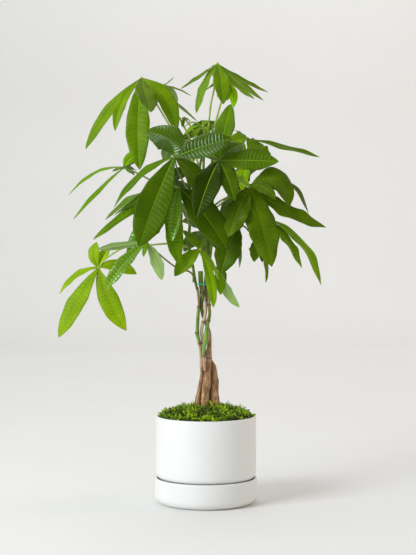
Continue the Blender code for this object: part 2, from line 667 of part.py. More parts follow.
def tube(name, route, collection, material=None, resolution=2, cyclic=False):
    """A closed mesh tube along (x, y, z, radius) points."""
    curve = bpy.data.curves.new(name, "CURVE")
    curve.dimensions = "3D"
    curve.bevel_depth = 1
    curve.bevel_resolution = resolution
    curve.use_fill_caps = not cyclic
    spline = curve.splines.new("POLY")
    spline.points.add(len(route) - 1)
    spline.use_cyclic_u = cyclic
    for point, (x, y, z, radius) in zip(spline.points, route):
        point.co = (x, y, z, 1)
        point.radius = radius
    guide = bpy.data.objects.new(name + "_guide", curve)
    collection.objects.link(guide)
    graph = bpy.context.evaluated_depsgraph_get()
    mesh = bpy.data.meshes.new_from_object(guide.evaluated_get(graph))
    bpy.data.objects.remove(guide, do_unlink=True)
    bpy.data.curves.remove(curve)
    shape = bmesh.new()
    shape.from_mesh(mesh)
    bmesh.ops.remove_doubles(shape, verts=shape.verts, dist=MERGE_DISTANCE)
    bmesh.ops.recalc_face_normals(shape, faces=shape.faces)
    shape.to_mesh(mesh)
    shape.free()
    mesh.materials.clear()
    mesh.shade_smooth()
    return add_object(name, mesh, collection, material)


def make_stems(collection):
    for name, route in STEMS.items():
        material = "bark" if name in TRUNK_STEMS else "green_stem"
        tube(name, smooth(route, STEM_STEPS), collection, material)


def make_trunk_cutters(collection):
    """The feet of the trunk's stems, widened by the gap that the soil and the moss keep to them."""
    for name in TRUNK_STEMS:
        route = [p for p in smooth(STEMS[name], STEM_STEPS) if p.z < CUTTER_TOP]
        widened = [(p.x, p.y, p.z, p.w + SEAT_GAP) for p in route]
        x, y, z, radius = widened[0]
        widened[0] = (x, y, z - SEAT_GAP, radius)
        tube(name + "_cutter", widened, collection)


def stem_at(name, height):
    """The stem's centre and radius at a height."""
    route = smooth(STEMS[name], STEM_STEPS)
    for low, high in zip(route, route[1:]):
        if low.z <= height <= high.z:
            found = low.lerp(high, (height - low.z) / (high.z - low.z))
            return found.xyz, found.w
    raise ValueError(f"{name} doesn't reach a height of {height} m")


def stalk_route(plan):
    """From the side of the stem, level at first, through the stalk's points to the hub."""
    centre, radius = stem_at(plan["stem"], plan["leaves_at"])
    points = [Vector(p) for p in (*plan["stalk"], plan["hub"])]
    out = points[0] - centre
    out.z = 0
    out.normalize()
    seat = centre + out * (radius + SEAT_GAP)
    route = [seat, *smooth([seat + out * STALK_START, *points], STALK_STEPS)]
    last = len(route) - 1
    radii = [STALK_BASE_RADIUS + (STALK_END_RADIUS - STALK_BASE_RADIUS) * i / last for i in range(last + 1)]
    return [(*point, r) for point, r in zip(route, radii)]


# Leaves


def blade_share(t):
    """The blade's width at t of its length, as a share of its full width."""
    peak = BLADE_RISE / (BLADE_RISE + BLADE_FALL)
    most = peak**BLADE_RISE * (1 - peak) ** BLADE_FALL
    return t**BLADE_RISE * (1 - t) ** BLADE_FALL / most


def blade_point(hub, leaflet, faces, across, t):
    """A point on a leaflet's middle surface: across runs from -1 to 1, and t from the hub to the tip."""
    tip, width, arch, roll = leaflet
    chord = Vector(tip) - hub
    along = chord.normalized()
    bend = hub + chord * ARCH_AT + Vector(arch) * 2
    centre = hub * (1 - t) ** 2 + bend * 2 * t * (1 - t) + Vector(tip) * t**2
    tangent = ((bend - hub) * (1 - t) + (Vector(tip) - bend) * t).normalized()
    facing = Quaternion(along, math.radians(roll)) @ faces
    side = tangent.cross(facing).normalized()
    reach = max(width / 2 * blade_share(t), BLADE_LEAST_WIDTH / 2)
    return centre + side * across * reach + side.cross(tangent) * abs(across) * reach * BLADE_FOLD


def make_blade(name, hub, leaflet, faces, collection):
    """A grid shaped into one leaflet, folded a little along its midrib and made solid."""
    shape = bmesh.new()
    bmesh.ops.create_grid(shape, x_segments=2, y_segments=BLADE_STEPS, size=1)
    start = BLADE_START / (Vector(leaflet[0]) - hub).length
    for vertex in shape.verts:
        t = start + (1 - start) * (vertex.co.y + 1) / 2
        vertex.co = blade_point(hub, leaflet, faces, vertex.co.x, t)
    mesh = bpy.data.meshes.new(name)
    shape.to_mesh(mesh)
    shape.free()
    made = add_object(name, mesh, collection)
    solidify = made.modifiers.new("Thickness", "SOLIDIFY")
    solidify.thickness = BLADE_THICKNESS
    solidify.offset = 0


def make_hub(name, hub, collection):
    shape = bmesh.new()
    bmesh.ops.create_icosphere(shape, subdivisions=1, radius=HUB_RADIUS)
    bmesh.ops.translate(shape, verts=shape.verts, vec=hub)
    mesh = bpy.data.meshes.new(name)
    shape.to_mesh(mesh)
    shape.free()
    add_object(name, mesh, collection)


def make_leaf(name, plan, collection, helpers):
    """One palmate leaf: the stalk, with its hub and leaflets joined to it."""
    stalk = tube(name, stalk_route(plan), collection, "leaf", resolution=0)
    joined = bpy.data.collections.new(name + "_helpers")
    helpers.children.link(joined)
    hub = Vector(plan["hub"])
    faces = Vector(plan["faces"]).normalized()
    make_hub(name + "_hub", hub, joined)
    for number, leaflet in enumerate(plan["leaflets"], 1):
        make_blade(f"{name}_leaflet_{number}", hub, leaflet, faces, joined)
    boolean(stalk, "UNION", joined)


# Tie


def outline_round(circles):
    """The convex outline round circles (x, y, radius), one point for each direction."""
    points = []
    for i in range(TIE_STEPS):
        angle = 2 * math.pi * i / TIE_STEPS
        out = Vector((math.cos(angle), math.sin(angle)))
        reach = [Vector((x, y)).dot(out) + radius for x, y, radius in circles]
        x, y, radius = circles[reach.index(max(reach))]
        points.append(Vector((x, y)) + out * radius)
    return points


def make_tie(collection):
    """A wire loop drawn round the upper stems."""
    circles = []
    for name in TIED_STEMS:
        centre, radius = stem_at(name, TIE_HEIGHT)
        circles.append((centre.x, centre.y, radius + SEAT_GAP + TIE_WIRE_RADIUS))
    route = [(p.x, p.y, TIE_HEIGHT, TIE_WIRE_RADIUS) for p in outline_round(circles)]
    tube("tie", route, collection, "tie", resolution=1, cyclic=True)


def main():
    clear_scene()
    plant = new_collection("potted_money_tree")
    helpers = new_collection("helpers")
    helpers.hide_render = True
    trunk_cutters = bpy.data.collections.new("trunk_cutters")
    helpers.children.link(trunk_cutters)
    make_trunk_cutters(trunk_cutters)
    make_saucer(plant)
    make_pot(plant)
    make_soil(plant, trunk_cutters)
    make_moss(plant, trunk_cutters)
    make_stems(plant)
    make_tie(plant)
    for name, plan in LEAVES.items():
        make_leaf(name, plan, plant, helpers)


main()
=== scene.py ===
"""The looks of the potted money tree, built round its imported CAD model.

Metres, +Z up. The origin is the centre of the saucer's flat underside, and -Y is the plant's front.
"""

import math

import bpy
import numpy as np
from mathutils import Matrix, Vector


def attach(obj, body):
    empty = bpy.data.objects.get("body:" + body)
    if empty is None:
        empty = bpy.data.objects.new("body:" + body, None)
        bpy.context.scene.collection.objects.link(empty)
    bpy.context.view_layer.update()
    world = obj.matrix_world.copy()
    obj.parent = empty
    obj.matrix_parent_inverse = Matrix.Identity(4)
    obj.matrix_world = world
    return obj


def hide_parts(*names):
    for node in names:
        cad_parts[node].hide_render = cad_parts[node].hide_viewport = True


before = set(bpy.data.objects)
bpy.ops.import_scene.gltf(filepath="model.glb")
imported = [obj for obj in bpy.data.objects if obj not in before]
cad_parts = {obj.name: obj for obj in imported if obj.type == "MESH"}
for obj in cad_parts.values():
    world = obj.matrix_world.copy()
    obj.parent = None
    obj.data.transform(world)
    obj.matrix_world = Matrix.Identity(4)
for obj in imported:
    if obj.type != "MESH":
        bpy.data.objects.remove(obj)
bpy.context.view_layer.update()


def metres(*rows):
    """Millimetres, turned into metres."""
    return np.array(rows) / 1000


def unit(rows):
    return rows / np.maximum(np.linalg.norm(rows, axis=-1, keepdims=True), 1e-12)


# Routes of the stems, bottom to top: x, y, z and radius. They repeat the CAD model's.
STEMS = {
    "stem_left": metres(
        (-15, 4, 117, 5.1), (-14, 4, 161, 4.9), (-11, 5, 180, 4.4), (-8, 5, 197, 4), (-6, 3, 212, 3.5),
        (-7, 0, 225, 3.1), (-8, -2, 242, 2.8), (-10, -3, 260, 2.9), (-14, -2, 278, 3), (-13, -1, 307, 2.7),
        (-11, -1, 325, 2.4), (-13, -3, 346, 2.2), (-17, -1, 361, 2.2), (-21, 0, 385, 2.4), (-27, 1, 418, 2.5),
        (-26, 3, 460, 2.4), (-16, 3, 513, 2.2), (-7, 1, 570, 2), (-3, -1, 604, 1.7),
    ),
    "stem_centre": metres(
        (-1, -3, 118, 6.6), (-1, -4, 162, 6.5), (-1, -4, 182, 6.7), (1, -5, 198, 6.6), (2, -3, 212, 6.1),
        (4, -1, 227, 5.3), (5, 0, 240, 4.7), (5, 1, 251, 4.3), (6, 3, 266, 3.3), (5, 6, 280, 2.9),
        (1, 7, 292, 2.8), (-5, 5, 307, 2.8), (-7, 3, 323, 2.9), (-6, 1, 341, 3.4), (-8, 0, 359, 4),
        (-9, 0, 380, 4.1),
    ),
    "stem_right": metres(
        (13, 4, 117, 8.7), (13, 3, 161, 8.5), (13, 4, 181, 7.9), (14, 5, 197, 7), (12, 8, 221, 4.9),
        (5, 10, 234, 4.4), (-2, 8, 247, 3.7), (-4, 4, 261, 3), (-7, 1, 277, 2.8), (-6, 0, 292, 2.7),
        (-2, -1, 305, 2.6), (0, 0, 323, 2.5), (0, 2, 341, 2.5), (-1, 3, 359, 2.4), (0, 7, 385, 2.4),
        (-2, 11, 431, 2.4), (-4, 14, 497, 2.3), (-4, 13, 554, 2.1), (0, 10, 616, 1.8),
    ),
    "stem_front": metres(
        (-2, -11, 218, 2.2), (-3, -10, 234, 2.4), (-4, -10, 246, 2.8), (-3, -10, 257, 3.5),
        (-1, -9, 267, 3.9), (1, -8, 280, 3.8), (3, -6, 296, 3), (6, -4, 310, 2.7), (5, -4, 327, 2.5),
        (4, -4, 345, 2.5), (3, -3, 359, 2.4), (4, -2, 385, 2.5), (8, -2, 415, 2.5), (10, -1, 460, 2.4),
        (11, 0, 521, 2.2), (10, 1, 578, 2), (11, 2, 617, 1.7),
    ),
}


def leaf(stem, leaves_at, stalk, faces, *leaflets):
    """One leaf, in millimetres: the stem that carries it, the height where its stalk leaves that stem, the
    stalk's points up to the hub, the way its upper side faces, and each leaflet as tip, width, arch and roll."""
    blades = [(metres(*tip), width / 1000, metres(*arch), roll) for tip, width, arch, roll in leaflets]
    found = {"stem": stem, "leaves_at": leaves_at / 1000, "stalk": metres(*stalk), "leaflets": blades}
    return {**found, "faces": unit(np.array(faces))}


# The leaves repeat the CAD model's.
LEAVES = {
    "leaf_top_left": leaf(
        "stem_left", 526, [(-23, -4, 564), (-54, -5, 609), (-82, -3, 655), (-105, 0, 694)],
        (-0.35, -0.6, 0.7),
        ((-197, 7, 579), 20, (-10, -4, 1), -24), ((-147, -20, 607), 18, (-11, -3, 2), -22),
        ((-106, -47, 544), 39, (-4, -5, -6), -15), ((-88, -61, 635), 38, (-1, -3, -1), -48),
        ((-48, -7, 606), 28, (12, -7, 8), -10), ((-13, 27, 625), 11, (5, -4, -1), -70),
        ((-92, 43, 650), 20, (1, 3, 3), -144),
    ),
    "leaf_top_left_back": leaf(
        "stem_right", 545, [(-26, 27, 596), (-51, 35, 646), (-70, 38, 686)], (0.1, 0.4, 0.85),
        ((-55, 99, 705), 6, (1, 1, 0), -19), ((-24, 72, 671), 7, (2, 1, 2), 52),
        ((-95, 92, 650), 25, (-1, 4, 7), 0), ((-54, 92, 647), 25, (1, 4, 7), 0),
        ((-99, 119, 679), 23, (0, 1, 8), 0),
    ),
    "leaf_top_right": leaf(
        "stem_right", 612, [(8, 20, 653), (14, 26, 682), (19, 27, 720)], (0.1, -0.3, 0.95),
        ((-42, 34, 680), 13, (-3, -1, -3), -11), ((-16, 20, 639), 21, (-5, -2, 3), 16),
        ((28, -13, 651), 28, (1, -3, 2), -2), ((103, 41, 675), 13, (2, -1, -5), 22),
        ((94, 11, 659), 18, (3, -1, -4), 6), ((81, 57, 665), 18, (1, -1, -5), 38),
        ((15, 108, 702), 18, (0, 1, 3), 0),
    ),
    "leaf_top_middle": leaf(
        "stem_front", 616, [(25, 32, 657), (30, 45, 678), (33, 51, 696)], (0.1, 0.2, 0.95),
        ((-1, 65, 680), 13, (-1, 0, 1), -50), ((35, 32, 660), 16, (1, -3, 2), 9),
        ((46, 51, 650), 15, (5, 1, 1), 106), ((63, 105, 678), 20, (1, 1, 5), 66),
        ((19, 112, 672), 18, (0, 2, 5), -120),
    ),
    "leaf_young": leaf(
        "stem_left", 599, [(-4, -4, 609), (-6, -8, 615)], (0.0, -0.5, 0.85),
        ((-37, -8, 613), 11, (-1, -1, 8), 20), ((-33, -22, 601), 11, (-2, -2, 6), 10),
        ((-21, -30, 595), 11, (-1, -3, 4), 0), ((5, -24, 595), 10, (2, -3, 3), 0),
        ((7, 11, 625), 10, (-1, -2, 4), 0),
    ),
    "leaf_bud": leaf(
        "stem_left", 590, [(-22, 7, 612), (-35, 11, 630)], (-0.3, -0.3, 0.9),
        ((-38, 4, 615), 7, (-1, -2, 1), 0), ((-25, 15, 623), 7, (1, 0, 2), 0),
        ((-43, 19, 627), 7, (0, 0, 2), 0),
    ),
    "leaf_centre": leaf(
        "stem_front", 529, [(14, -41, 543), (21, -68, 558)], (0.1, -0.75, 0.65),
        ((40, -24, 651), 33, (-1, -3, 1), -23), ((115, -81, 556), 36, (0, 0, 1), 19),
        ((60, -16, 587), 28, (-1, -2, 4), 1), ((-14, -115, 468), 44, (-2, -4, 3), 9),
        ((45, -95, 494), 29, (2, -4, 2), -1), ((-5, -38, 573), 21, (0, -1, 3), -9),
    ),
    "leaf_front_left": leaf(
        "stem_left", 496, [(-29, -30, 512), (-44, -65, 540), (-50, -84, 563)], (-0.2, -0.75, 0.65),
        ((-96, -62, 604), 51, (12, -2, 8), 3), ((41, -88, 592), 39, (4, -4, 3), 23),
        ((-147, -57, 484), 23, (-7, -1, 9), 15), ((-104, -111, 422), 54, (-5, -6, -6), -19),
        ((10, -38, 488), 35, (4, 2, 5), 7), ((-135, -54, 481), 23, (7, -5, -8), 6),
    ),
    "leaf_front_low": leaf(
        "stem_left", 457, [(-32, -30, 475), (-42, -57, 496), (-43, -68, 515)], (-0.1, -0.8, 0.6),
        ((-53, -97, 430), 23, (-1, -4, 2), 7), ((35, -84, 415), 49, (4, -3, 4), 0),
        ((-42, -73, 393), 29, (-8, -5, -8), -20), ((-127, -61, 406), 36, (-3, -1, 2), -6),
    ),
    "leaf_left_low": leaf(
        "stem_left", 364,
        [(-21, -8, 373), (-28, -13, 380), (-48, -34, 387), (-81, -68, 415), (-94, -84, 429)],
        (-0.3, -0.8, 0.5),
        ((-69, -92, 369), 21, (3, -3, -1), -158), ((-98, -103, 406), 8, (0, -1, 1), -6),
        ((-159, -100, 352), 23, (-7, -4, 0), -13), ((-63, -90, 464), 23, (-4, -1, 3), 7),
        ((-173, -68, 417), 15, (-3, -3, 0), 107),
    ),
    "leaf_bottom_left": leaf(
        "stem_left", 421,
        [(-59, -8, 425), (-91, -16, 423), (-129, -24, 420), (-158, -27, 404), (-174, -27, 387)],
        (-0.3, -0.8, 0.5),
        ((-177, -20, 428), 20, (-6, -2, 2), 0), ((-156, -11, 421), 18, (-2, -2, 2), 0),
        ((-112, -24, 376), 23, (1, -2, 8), 0), ((-239, -13, 343), 18, (-6, -2, 8), 20),
        ((-237, -47, 275), 33, (-5, -5, -4), 0), ((-128, -47, 286), 33, (-4, -5, -4), 0),
    ),
    "leaf_left_inner": leaf(
        "stem_left", 477, [(-46, -13, 498), (-66, -27, 507)], (-0.4, -0.5, 0.7),
        ((-163, -20, 464), 25, (-5, -1, 10), 3), ((-150, -3, 471), 15, (-3, -1, 7), 13),
        ((-182, -32, 432), 20, (-7, -4, 2), -10), ((-87, -38, 441), 25, (-4, -3, 2), -23),
    ),
    "leaf_far_left": leaf(
        "stem_left", 467, [(-56, 5, 510), (-91, 13, 529), (-112, 16, 540), (-135, 16, 550)],
        (-0.4, -0.3, 0.85),
        ((-226, 23, 505), 10, (-5, -2, 12), -13), ((-217, 5, 465), 11, (-5, -2, -1), -21),
        ((-151, -22, 542), 7, (-1, -1, 1), -33), ((-116, -16, 536), 11, (0, -1, 2), -28),
        ((-109, 32, 579), 18, (-2, -1, 2), 46), ((-110, 57, 566), 15, (-1, -1, 3), 49),
        ((-116, 62, 546), 15, (0, 0, 3), 56),
    ),
    "leaf_right": leaf(
        "stem_front", 487, [(26, -30, 496), (51, -54, 507), (70, -65, 516)], (0.4, -0.65, 0.6),
        ((133, -65, 485), 41, (13, -6, 27), 11), ((109, -97, 496), 20, (2, -3, 9), 31),
        ((165, -38, 475), 20, (13, -3, 27), -17), ((193, -41, 452), 28, (-3, 1, -5), 11),
        ((104, -85, 390), 47, (2, -2, 1), 25), ((35, -84, 437), 38, (-2, -3, 1), 25),
        ((38, -46, 538), 20, (0, 0, 1), -1),
    ),
    "leaf_far_right": leaf(
        "stem_front", 438, [(48, 8, 454), (76, 13, 465), (95, 16, 469)], (0.5, 0.1, 0.85),
        ((189, 16, 357), 20, (19, 1, 8), 43), ((157, 3, 385), 21, (6, -1, 5), 43),
        ((114, 70, 417), 23, (3, 5, 6), 97), ((94, 57, 393), 23, (2, 6, 3), 158),
        ((88, 84, 492), 18, (1, -2, 6), -26),
    ),
    "leaf_right_low": leaf(
        "stem_front", 426, [(31, -11, 446), (58, -19, 455), (75, -20, 439), (81, -22, 435)],
        (0.4, -0.5, 0.75),
        ((78, -30, 396), 18, (0, -2, 0), 45), ((97, -19, 362), 10, (8, -2, -2), 1),
        ((91, -11, 395), 13, (4, 1, 1), 42), ((110, 5, 416), 15, (2, 1, 4), 48),
    ),
    "leaf_centre_low": leaf(
        "stem_front", 454, [(27, -30, 461), (51, -46, 461)], (0.1, -0.8, 0.6),
        ((24, -59, 378), 42, (-1, -1, 0), 10), ((54, -41, 387), 7, (2, -3, -6), -130),
        ((42, -24, 396), 18, (-3, 3, 2), 23), ((32, -16, 488), 20, (1, -3, 4), 3),
    ),
    "leaf_bottom_middle": leaf(
        "stem_front", 395, [(0, -30, 407), (-9, -54, 417)], (-0.1, -0.75, 0.65),
        ((-50, -61, 374), 26, (-2, -1, 2), -13), ((12, -62, 324), 17, (6, -4, -4), -17),
        ((21, -35, 367), 10, (3, 0, 2), -26), ((-37, -35, 447), 16, (1, -2, 2), 9),
        ((-2, -43, 435), 10, (-1, -1, 1), -11),
    ),
    "leaf_bottom_small": leaf(
        "stem_front", 371, [(11, -5, 382), (18, -8, 386)], (0.2, -0.6, 0.75),
        ((24, -16, 342), 18, (1, -1, 0), 3), ((55, -5, 321), 18, (-3, -2, -5), -107),
        ((33, 19, 362), 10, (2, 2, 4), 52),
    ),
    "leaf_back_upper": leaf(
        "stem_right", 519, [(10, 32, 543), (40, 46, 560), (67, 54, 577)], (0.0, 0.3, 0.95),
        ((59, 32, 512), 23, (-1, -1, 1), -63), ((-3, 68, 543), 25, (-1, 1, 3), -90),
        ((87, 108, 554), 23, (1, 2, 6), 116), ((27, 121, 601), 23, (1, -1, 6), -49),
        ((51, 121, 556), 23, (0, 2, 8), -106),
    ),
    "leaf_upper_right": leaf(
        "stem_front", 509, [(31, 11, 529), (59, 24, 554), (69, 28, 578), (68, 30, 598)], (0.3, -0.1, 0.9),
        ((188, 36, 568), 16, (5, -1, 0), 25), ((101, -11, 552), 33, (2, 0, -1), 48),
        ((47, 43, 613), 7, (0, 0, 1), -18), ((40, 11, 593), 21, (0, 0, 2), -39),
        ((95, 89, 579), 23, (1, 0, -3), 58),
    ),
    "leaf_back_left": leaf(
        "stem_right", 488, [(-27, 61, 505), (-65, 101, 527)], (-0.3, 0.8, 0.5),
        ((-84, 117, 511), 25, (-2, 2, 4), 0), ((-93, 135, 484), 29, (-2, 4, 5), 0),
        ((-104, 148, 443), 36, (-4, 7, 6), 0), ((-52, 175, 422), 36, (0, 9, 7), 0),
        ((-18, 182, 485), 29, (0, 4, 9), 0), ((-24, 131, 548), 26, (-2, 0, 4), 0),
    ),
    "leaf_back_right": leaf(
        "stem_right", 470, [(23, 57, 489), (54, 95, 514)], (0.3, 0.8, 0.5),
        ((19, 142, 562), 26, (4, -2, 5), 0), ((91, 135, 553), 29, (-4, -3, 7), 0),
        ((111, 162, 490), 33, (1, 3, 13), 0), ((87, 162, 432), 36, (3, 8, 8), 0),
        ((28, 182, 435), 33, (0, 7, 7), 0),
    ),
    "leaf_back_low": leaf(
        "stem_right", 421, [(-2, 43, 430), (-5, 76, 443)], (0.0, 0.85, 0.5),
        ((-38, 123, 409), 25, (-1, 3, 6), 0), ((0, 136, 391), 28, (0, 5, 6), 0),
        ((34, 123, 405), 25, (1, 3, 5), 0), ((-41, 136, 460), 23, (2, -1, 6), 0),
        ((28, 150, 460), 23, (-1, -1, 6), 0),
    ),
    "leaf_back_high": leaf(
        "stem_right", 562, [(-17, 38, 576), (-40, 62, 598)], (-0.1, 0.6, 0.8),
        ((-78, 103, 589), 26, (0, 1, 8), 0), ((-71, 96, 562), 29, (-3, 5, 8), 0),
        ((-24, 143, 557), 29, (0, 4, 9), 0), ((21, 130, 631), 25, (-1, -1, 3), 91),
    ),
}

# Camera
CAMERA_DISTANCE = 2.5
CAMERA_HEIGHT = 0.467
CAMERA_SIDE = 0.0033
CAMERA_TILT = 2.23
CAMERA_LENS = 99.2
CAMERA_SENSOR = 36.0
CAMERA_CLIP_END = 30.0

# Leaf blades
BLADE_LEAST_ROWS = 28
BLADE_ROW_STEP = 0.0032
BLADE_COLUMNS = 14
BLADE_COLUMN_POWER = 1.15
BLADE_RISE = 1.05
BLADE_FALL = 0.85
BLADE_START = 0.0021
ARCH_AT = 0.42
BLADE_FOLD = 0.26
BLADE_CURL = 0.16
BLADE_THICKNESS = 0.00042
BLADE_LEAST_HALF = 0.0002
BLADE_TWIST = 10
NECK_RADIUS = 0.0011
NECK_LENGTH = 0.006
TONE_CHANGE = 0.07
VEIN_PITCH = 0.0016
VEIN_PITCH_SHARE = 0.043
VEIN_CURVE = 16.0
QUILT_HEIGHT = 0.0003
MIDRIB_GROOVE = 0.0003
MIDRIB_GROOVE_REACH = 0.0009
MIDRIB_RIDGE = 0.0008
MIDRIB_LEAST_RIDGE = 0.0001
MIDRIB_RIDGE_REACH = 0.0011
WAVE_SHARE = 0.048
LEAF_RELIEF = 0.0004
TOP_SLOT, UNDER_SLOT, STALK_SLOT, GLOSSY_SLOT = range(4)

# Stalks
STALK_BASE_RADIUS = 0.0017
STALK_END_RADIUS = 0.0012
STALK_START = 0.004
STALK_BASE_FLARE = 0.0007
STALK_END_FLARE = 0.0005
STALK_FLARE_SHARE = 0.05
SEAT_GAP = 0.0003
HUB_RADIUS = 0.0027
STALK_STEPS = 8
STALK_SIDES = 12
BALL_RINGS = 9
BALL_SIDES = 14

# Pot, saucer, soil and moss. Their outlines are the CAD model's.
SAUCER_RADIUS = 0.084
SAUCER_FOOT_RADIUS = 0.0695
SAUCER_TOP = 0.042
SAUCER_WALL = 0.0042
SAUCER_FLOOR = 0.009
SAUCER_INNER_CORNER = 0.006
POT_RADIUS = 0.0823
POT_FOOT_RADIUS = 0.072
POT_TOP = 0.1435
POT_WALL = 0.0036
POT_FLOOR = 0.006
POT_CORNER = 0.0128
POT_CORNER_TOP = 0.052
DRAIN_HOLE_RADIUS = 0.007
SOIL_TOP = 0.130
PROFILE_STEP = 0.004
TURNED_SIDES = 180
MOSS_RADIUS = 0.0784
MOSS_EDGE_TOP = 0.1455
MOSS_TOP = 0.1595
MOSS_DROP = 0.004
MOSS_RINGS = 30
MOSS_SIDES = 120
MOSS_LUMP = 0.0016
MOSS_LUMP_SIZE = 0.012
MOSS_LUMP_SEED = 31
MOSS_CLUMP_SIZE = 0.016
MOSS_CLUMP_SEED = 5
MOSS_SPRIGS = 1500
MOSS_SPRIG_RADII = (0.0007, 0.00066, 0.00055, 0.0004)
SPRIG_STEPS = np.linspace(0, 1, 5)
MOSS_LEAFLETS = 12
MOSS_REACH = 0.080

# Tie
TIE_HEIGHT = 0.3592
TIE_WIRE_RADIUS = 0.0008
TIE_STEPS = 96
TIE_SIDES = 12
TIE_TALL = 1.25
TIED_STEMS = ("stem_centre", "stem_right", "stem_front")

# Stems: the heights of their brown nodes, how green the skin is from each height up, from bark at 0 to green
# at 1, how pale it is from each height up, and the buds as height and direction in degrees.
STEM_SIDES = 28
STEM_STEPS = 12
STEM_SAMPLES = 4
STEM_NODES = {
    "stem_left": (0.262, 0.279, 0.321, 0.352),
    "stem_centre": (0.237, 0.290, 0.345),
    "stem_right": (0.262, 0.297, 0.332),
    "stem_front": (0.242, 0.299, 0.325, 0.350),
}
STEM_GREEN = {
    "stem_left": ((0.0, 0.0), (0.264, 1.0), (0.322, 0.2), (0.348, 1.0)),
    "stem_centre": ((0.0, 0.0), (0.300, 1.0)),
    "stem_right": ((0.0, 0.0), (0.335, 0.6), (0.362, 1.0)),
    "stem_front": ((0.0, 0.0), (0.242, 1.0), (0.305, 0.6), (0.35, 1.0)),
}
STEM_PALE = {
    "stem_left": ((0.0, 0.0), (0.222, 0.45), (0.258, 0.0), (0.268, 0.35), (0.30, 0.0)),
    "stem_centre": ((0.0, 0.0), (0.232, 0.5), (0.240, 0.1), (0.28, 0.0)),
    "stem_right": ((0.0, 0.0), (0.256, 0.8), (0.333, 0.0)),
    "stem_front": ((0.0, 0.4), (0.244, 0.6), (0.262, 0.3), (0.30, 0.0)),
}
STEM_BUDS = {
    "stem_left": ((0.279, 190), (0.321, 200)),
    "stem_front": ((0.299, -30), (0.325, 20)),
    "stem_centre": ((0.353, -110),),
}
SKIN_CHANGE = 0.006
# How far the painted shade reaches out from where stems touch.
CONTACT_SHADE_REACH = 0.0045
NODE_HALF_HEIGHT = 0.0018
NODE_SWELL = 0.00045
STALK_MARK = 0.45
BUD_RADIUS = 0.0014
KNOB_HEIGHTS = (0.055, 0.03)
KNOB_SIZES = (0.006, 0.0028)
ROUGHEST_HEIGHT = 0.155
ROUGHEST_REACH = 0.014
CUT_STEM = "stem_centre"

# Stage, world and lights: place, aim, size, power and colour
STAGE_COLOUR = (0.81, 0.805, 0.785)
STAGE_FRONT = 9.0
STAGE_BACK = 3.2
STAGE_CURVE = 1.0
STAGE_TOP = 5.0
STAGE_WIDTH = 22.0
WORLD_COLOUR = (0.95, 0.97, 1.0)
WORLD_STRENGTH = 0.43
LIGHTS = {
    "window": ((-2.17, -1.9, 1.7), (0.0, 0.0, 0.35), (1.4, 1.6), 74.0, (0.94, 0.98, 1.0)),
    "top": ((-0.3, 0.3, 2.6), (0.0, 0.0, 0.4), (1.4, 1.4), 14.0, (0.97, 0.99, 1.0)),
    "wall": ((0.4, 2.4, 3.4), (0.3, 4.2, 0.8), (3.2, 1.2), 41.0, (1.0, 1.0, 1.0)),
    "bounce": ((3.6, 0.8, 1.5), (0.0, 0.0, 0.3), (2.6, 2.6), 34.0, (1.0, 0.75, 0.52)),
}

# A leaf's look: its base colour, midrib colour, roughness, specular level and underside's colour, and how
# uneven its margins are. A leaf that LEAVES_OF_LOOK doesn't list is dark.
LEAF_LOOKS = {
    # In the bright look the midrib is darker than the blade: painted shade in its groove.
    "bright": ((0.220, 0.375, 0.001), (0.170, 0.290, 0.002), 0.50, 0.22, (0.32, 0.45, 0.07), 0.02),
    "light": ((0.128, 0.240, 0.001), (0.190, 0.340, 0.004), 0.46, 0.2, (0.27, 0.38, 0.12), 0.022),
    "middle": ((0.078, 0.160, 0.001), (0.200, 0.370, 0.006), 0.45, 0.18, (0.20, 0.31, 0.09), 0.03),
    "dark": ((0.050, 0.104, 0.001), (0.145, 0.290, 0.003), 0.44, 0.16, (0.16, 0.26, 0.07), 0.026),
    "olive": ((0.056, 0.105, 0.001), (0.130, 0.215, 0.002), 0.44, 0.16, (0.16, 0.26, 0.07), 0.055),
    # The inner look is painted shade: darker copies of the green, on both sides, for the leaves deep in the
    # crown at the back.
    "inner": ((0.040, 0.085, 0.001), (0.090, 0.180, 0.004), 0.5, 0.1, (0.050, 0.100, 0.008), 0.03),
}
LEAVES_OF_LOOK = {
    "bright": "bottom_left back_upper",
    "light": "top_left top_left_back young bud bottom_middle top_right top_middle",
    "middle": "left_low bottom_small far_left left_inner centre back_high",
    "olive": "upper_right right right_low far_right",
    "inner": "back_left back_right back_low",
}
LOOK_OF = {"leaf_" + name: look for look, names in LEAVES_OF_LOOK.items() for name in names.split()}
# The tone of single leaflets against their leaf's look, in the order of its leaflets: partly their own green,
# partly painted light and shade, low where a leaflet lies in shadow and high where it is lit. The rest have 1.
LEAFLET_TONE_AND_LIGHT = {
    "leaf_top_left": (0.9, 1.0, 0.85, 0.75, 1.0),
    "leaf_top_right": (0.75, 1.2, 1.03, 0.9, 0.85, 1.8),
    "leaf_top_middle": (1.0, 1.2, 3.0),
    "leaf_centre": (1.02, 0.85, 0.9, 0.25, 0.7),
    "leaf_young": (1.0, 1.4, 0.85),
    "leaf_front_left": (1.15, 1.1, 1.9, 1.13, 1.8),
    "leaf_upper_right": (1.6, 1.75, 1.54, 3.0),
    "leaf_back_upper": (1.8,),
    "leaf_far_left": (1.7, 1.45, 1.0, 1.0, 2.6),
    "leaf_right": (1.4, 1.08, 1.2, 1.5, 1.4, 1.22, 4.2),
    "leaf_front_low": (3.0, 0.95, 2.2, 2.4),
    "leaf_left_inner": (1.2, 1.2, 1.2),
    "leaf_centre_low": (1.02, 0.9),
    "leaf_far_right": (3.2, 2.7),
    "leaf_left_low": (1.3, 1.9, 1.6, 1.0, 1.1),
    "leaf_bottom_middle": (1.12, 1.36, 2.6, 1.15, 1.2),
    "leaf_bottom_left": (0.85, 1.25, 0.92, 1.03, 0.88, 0.9),
    "leaf_right_low": (2.3, 2.1),
    "leaf_bottom_small": (1.8, 1.55),
}

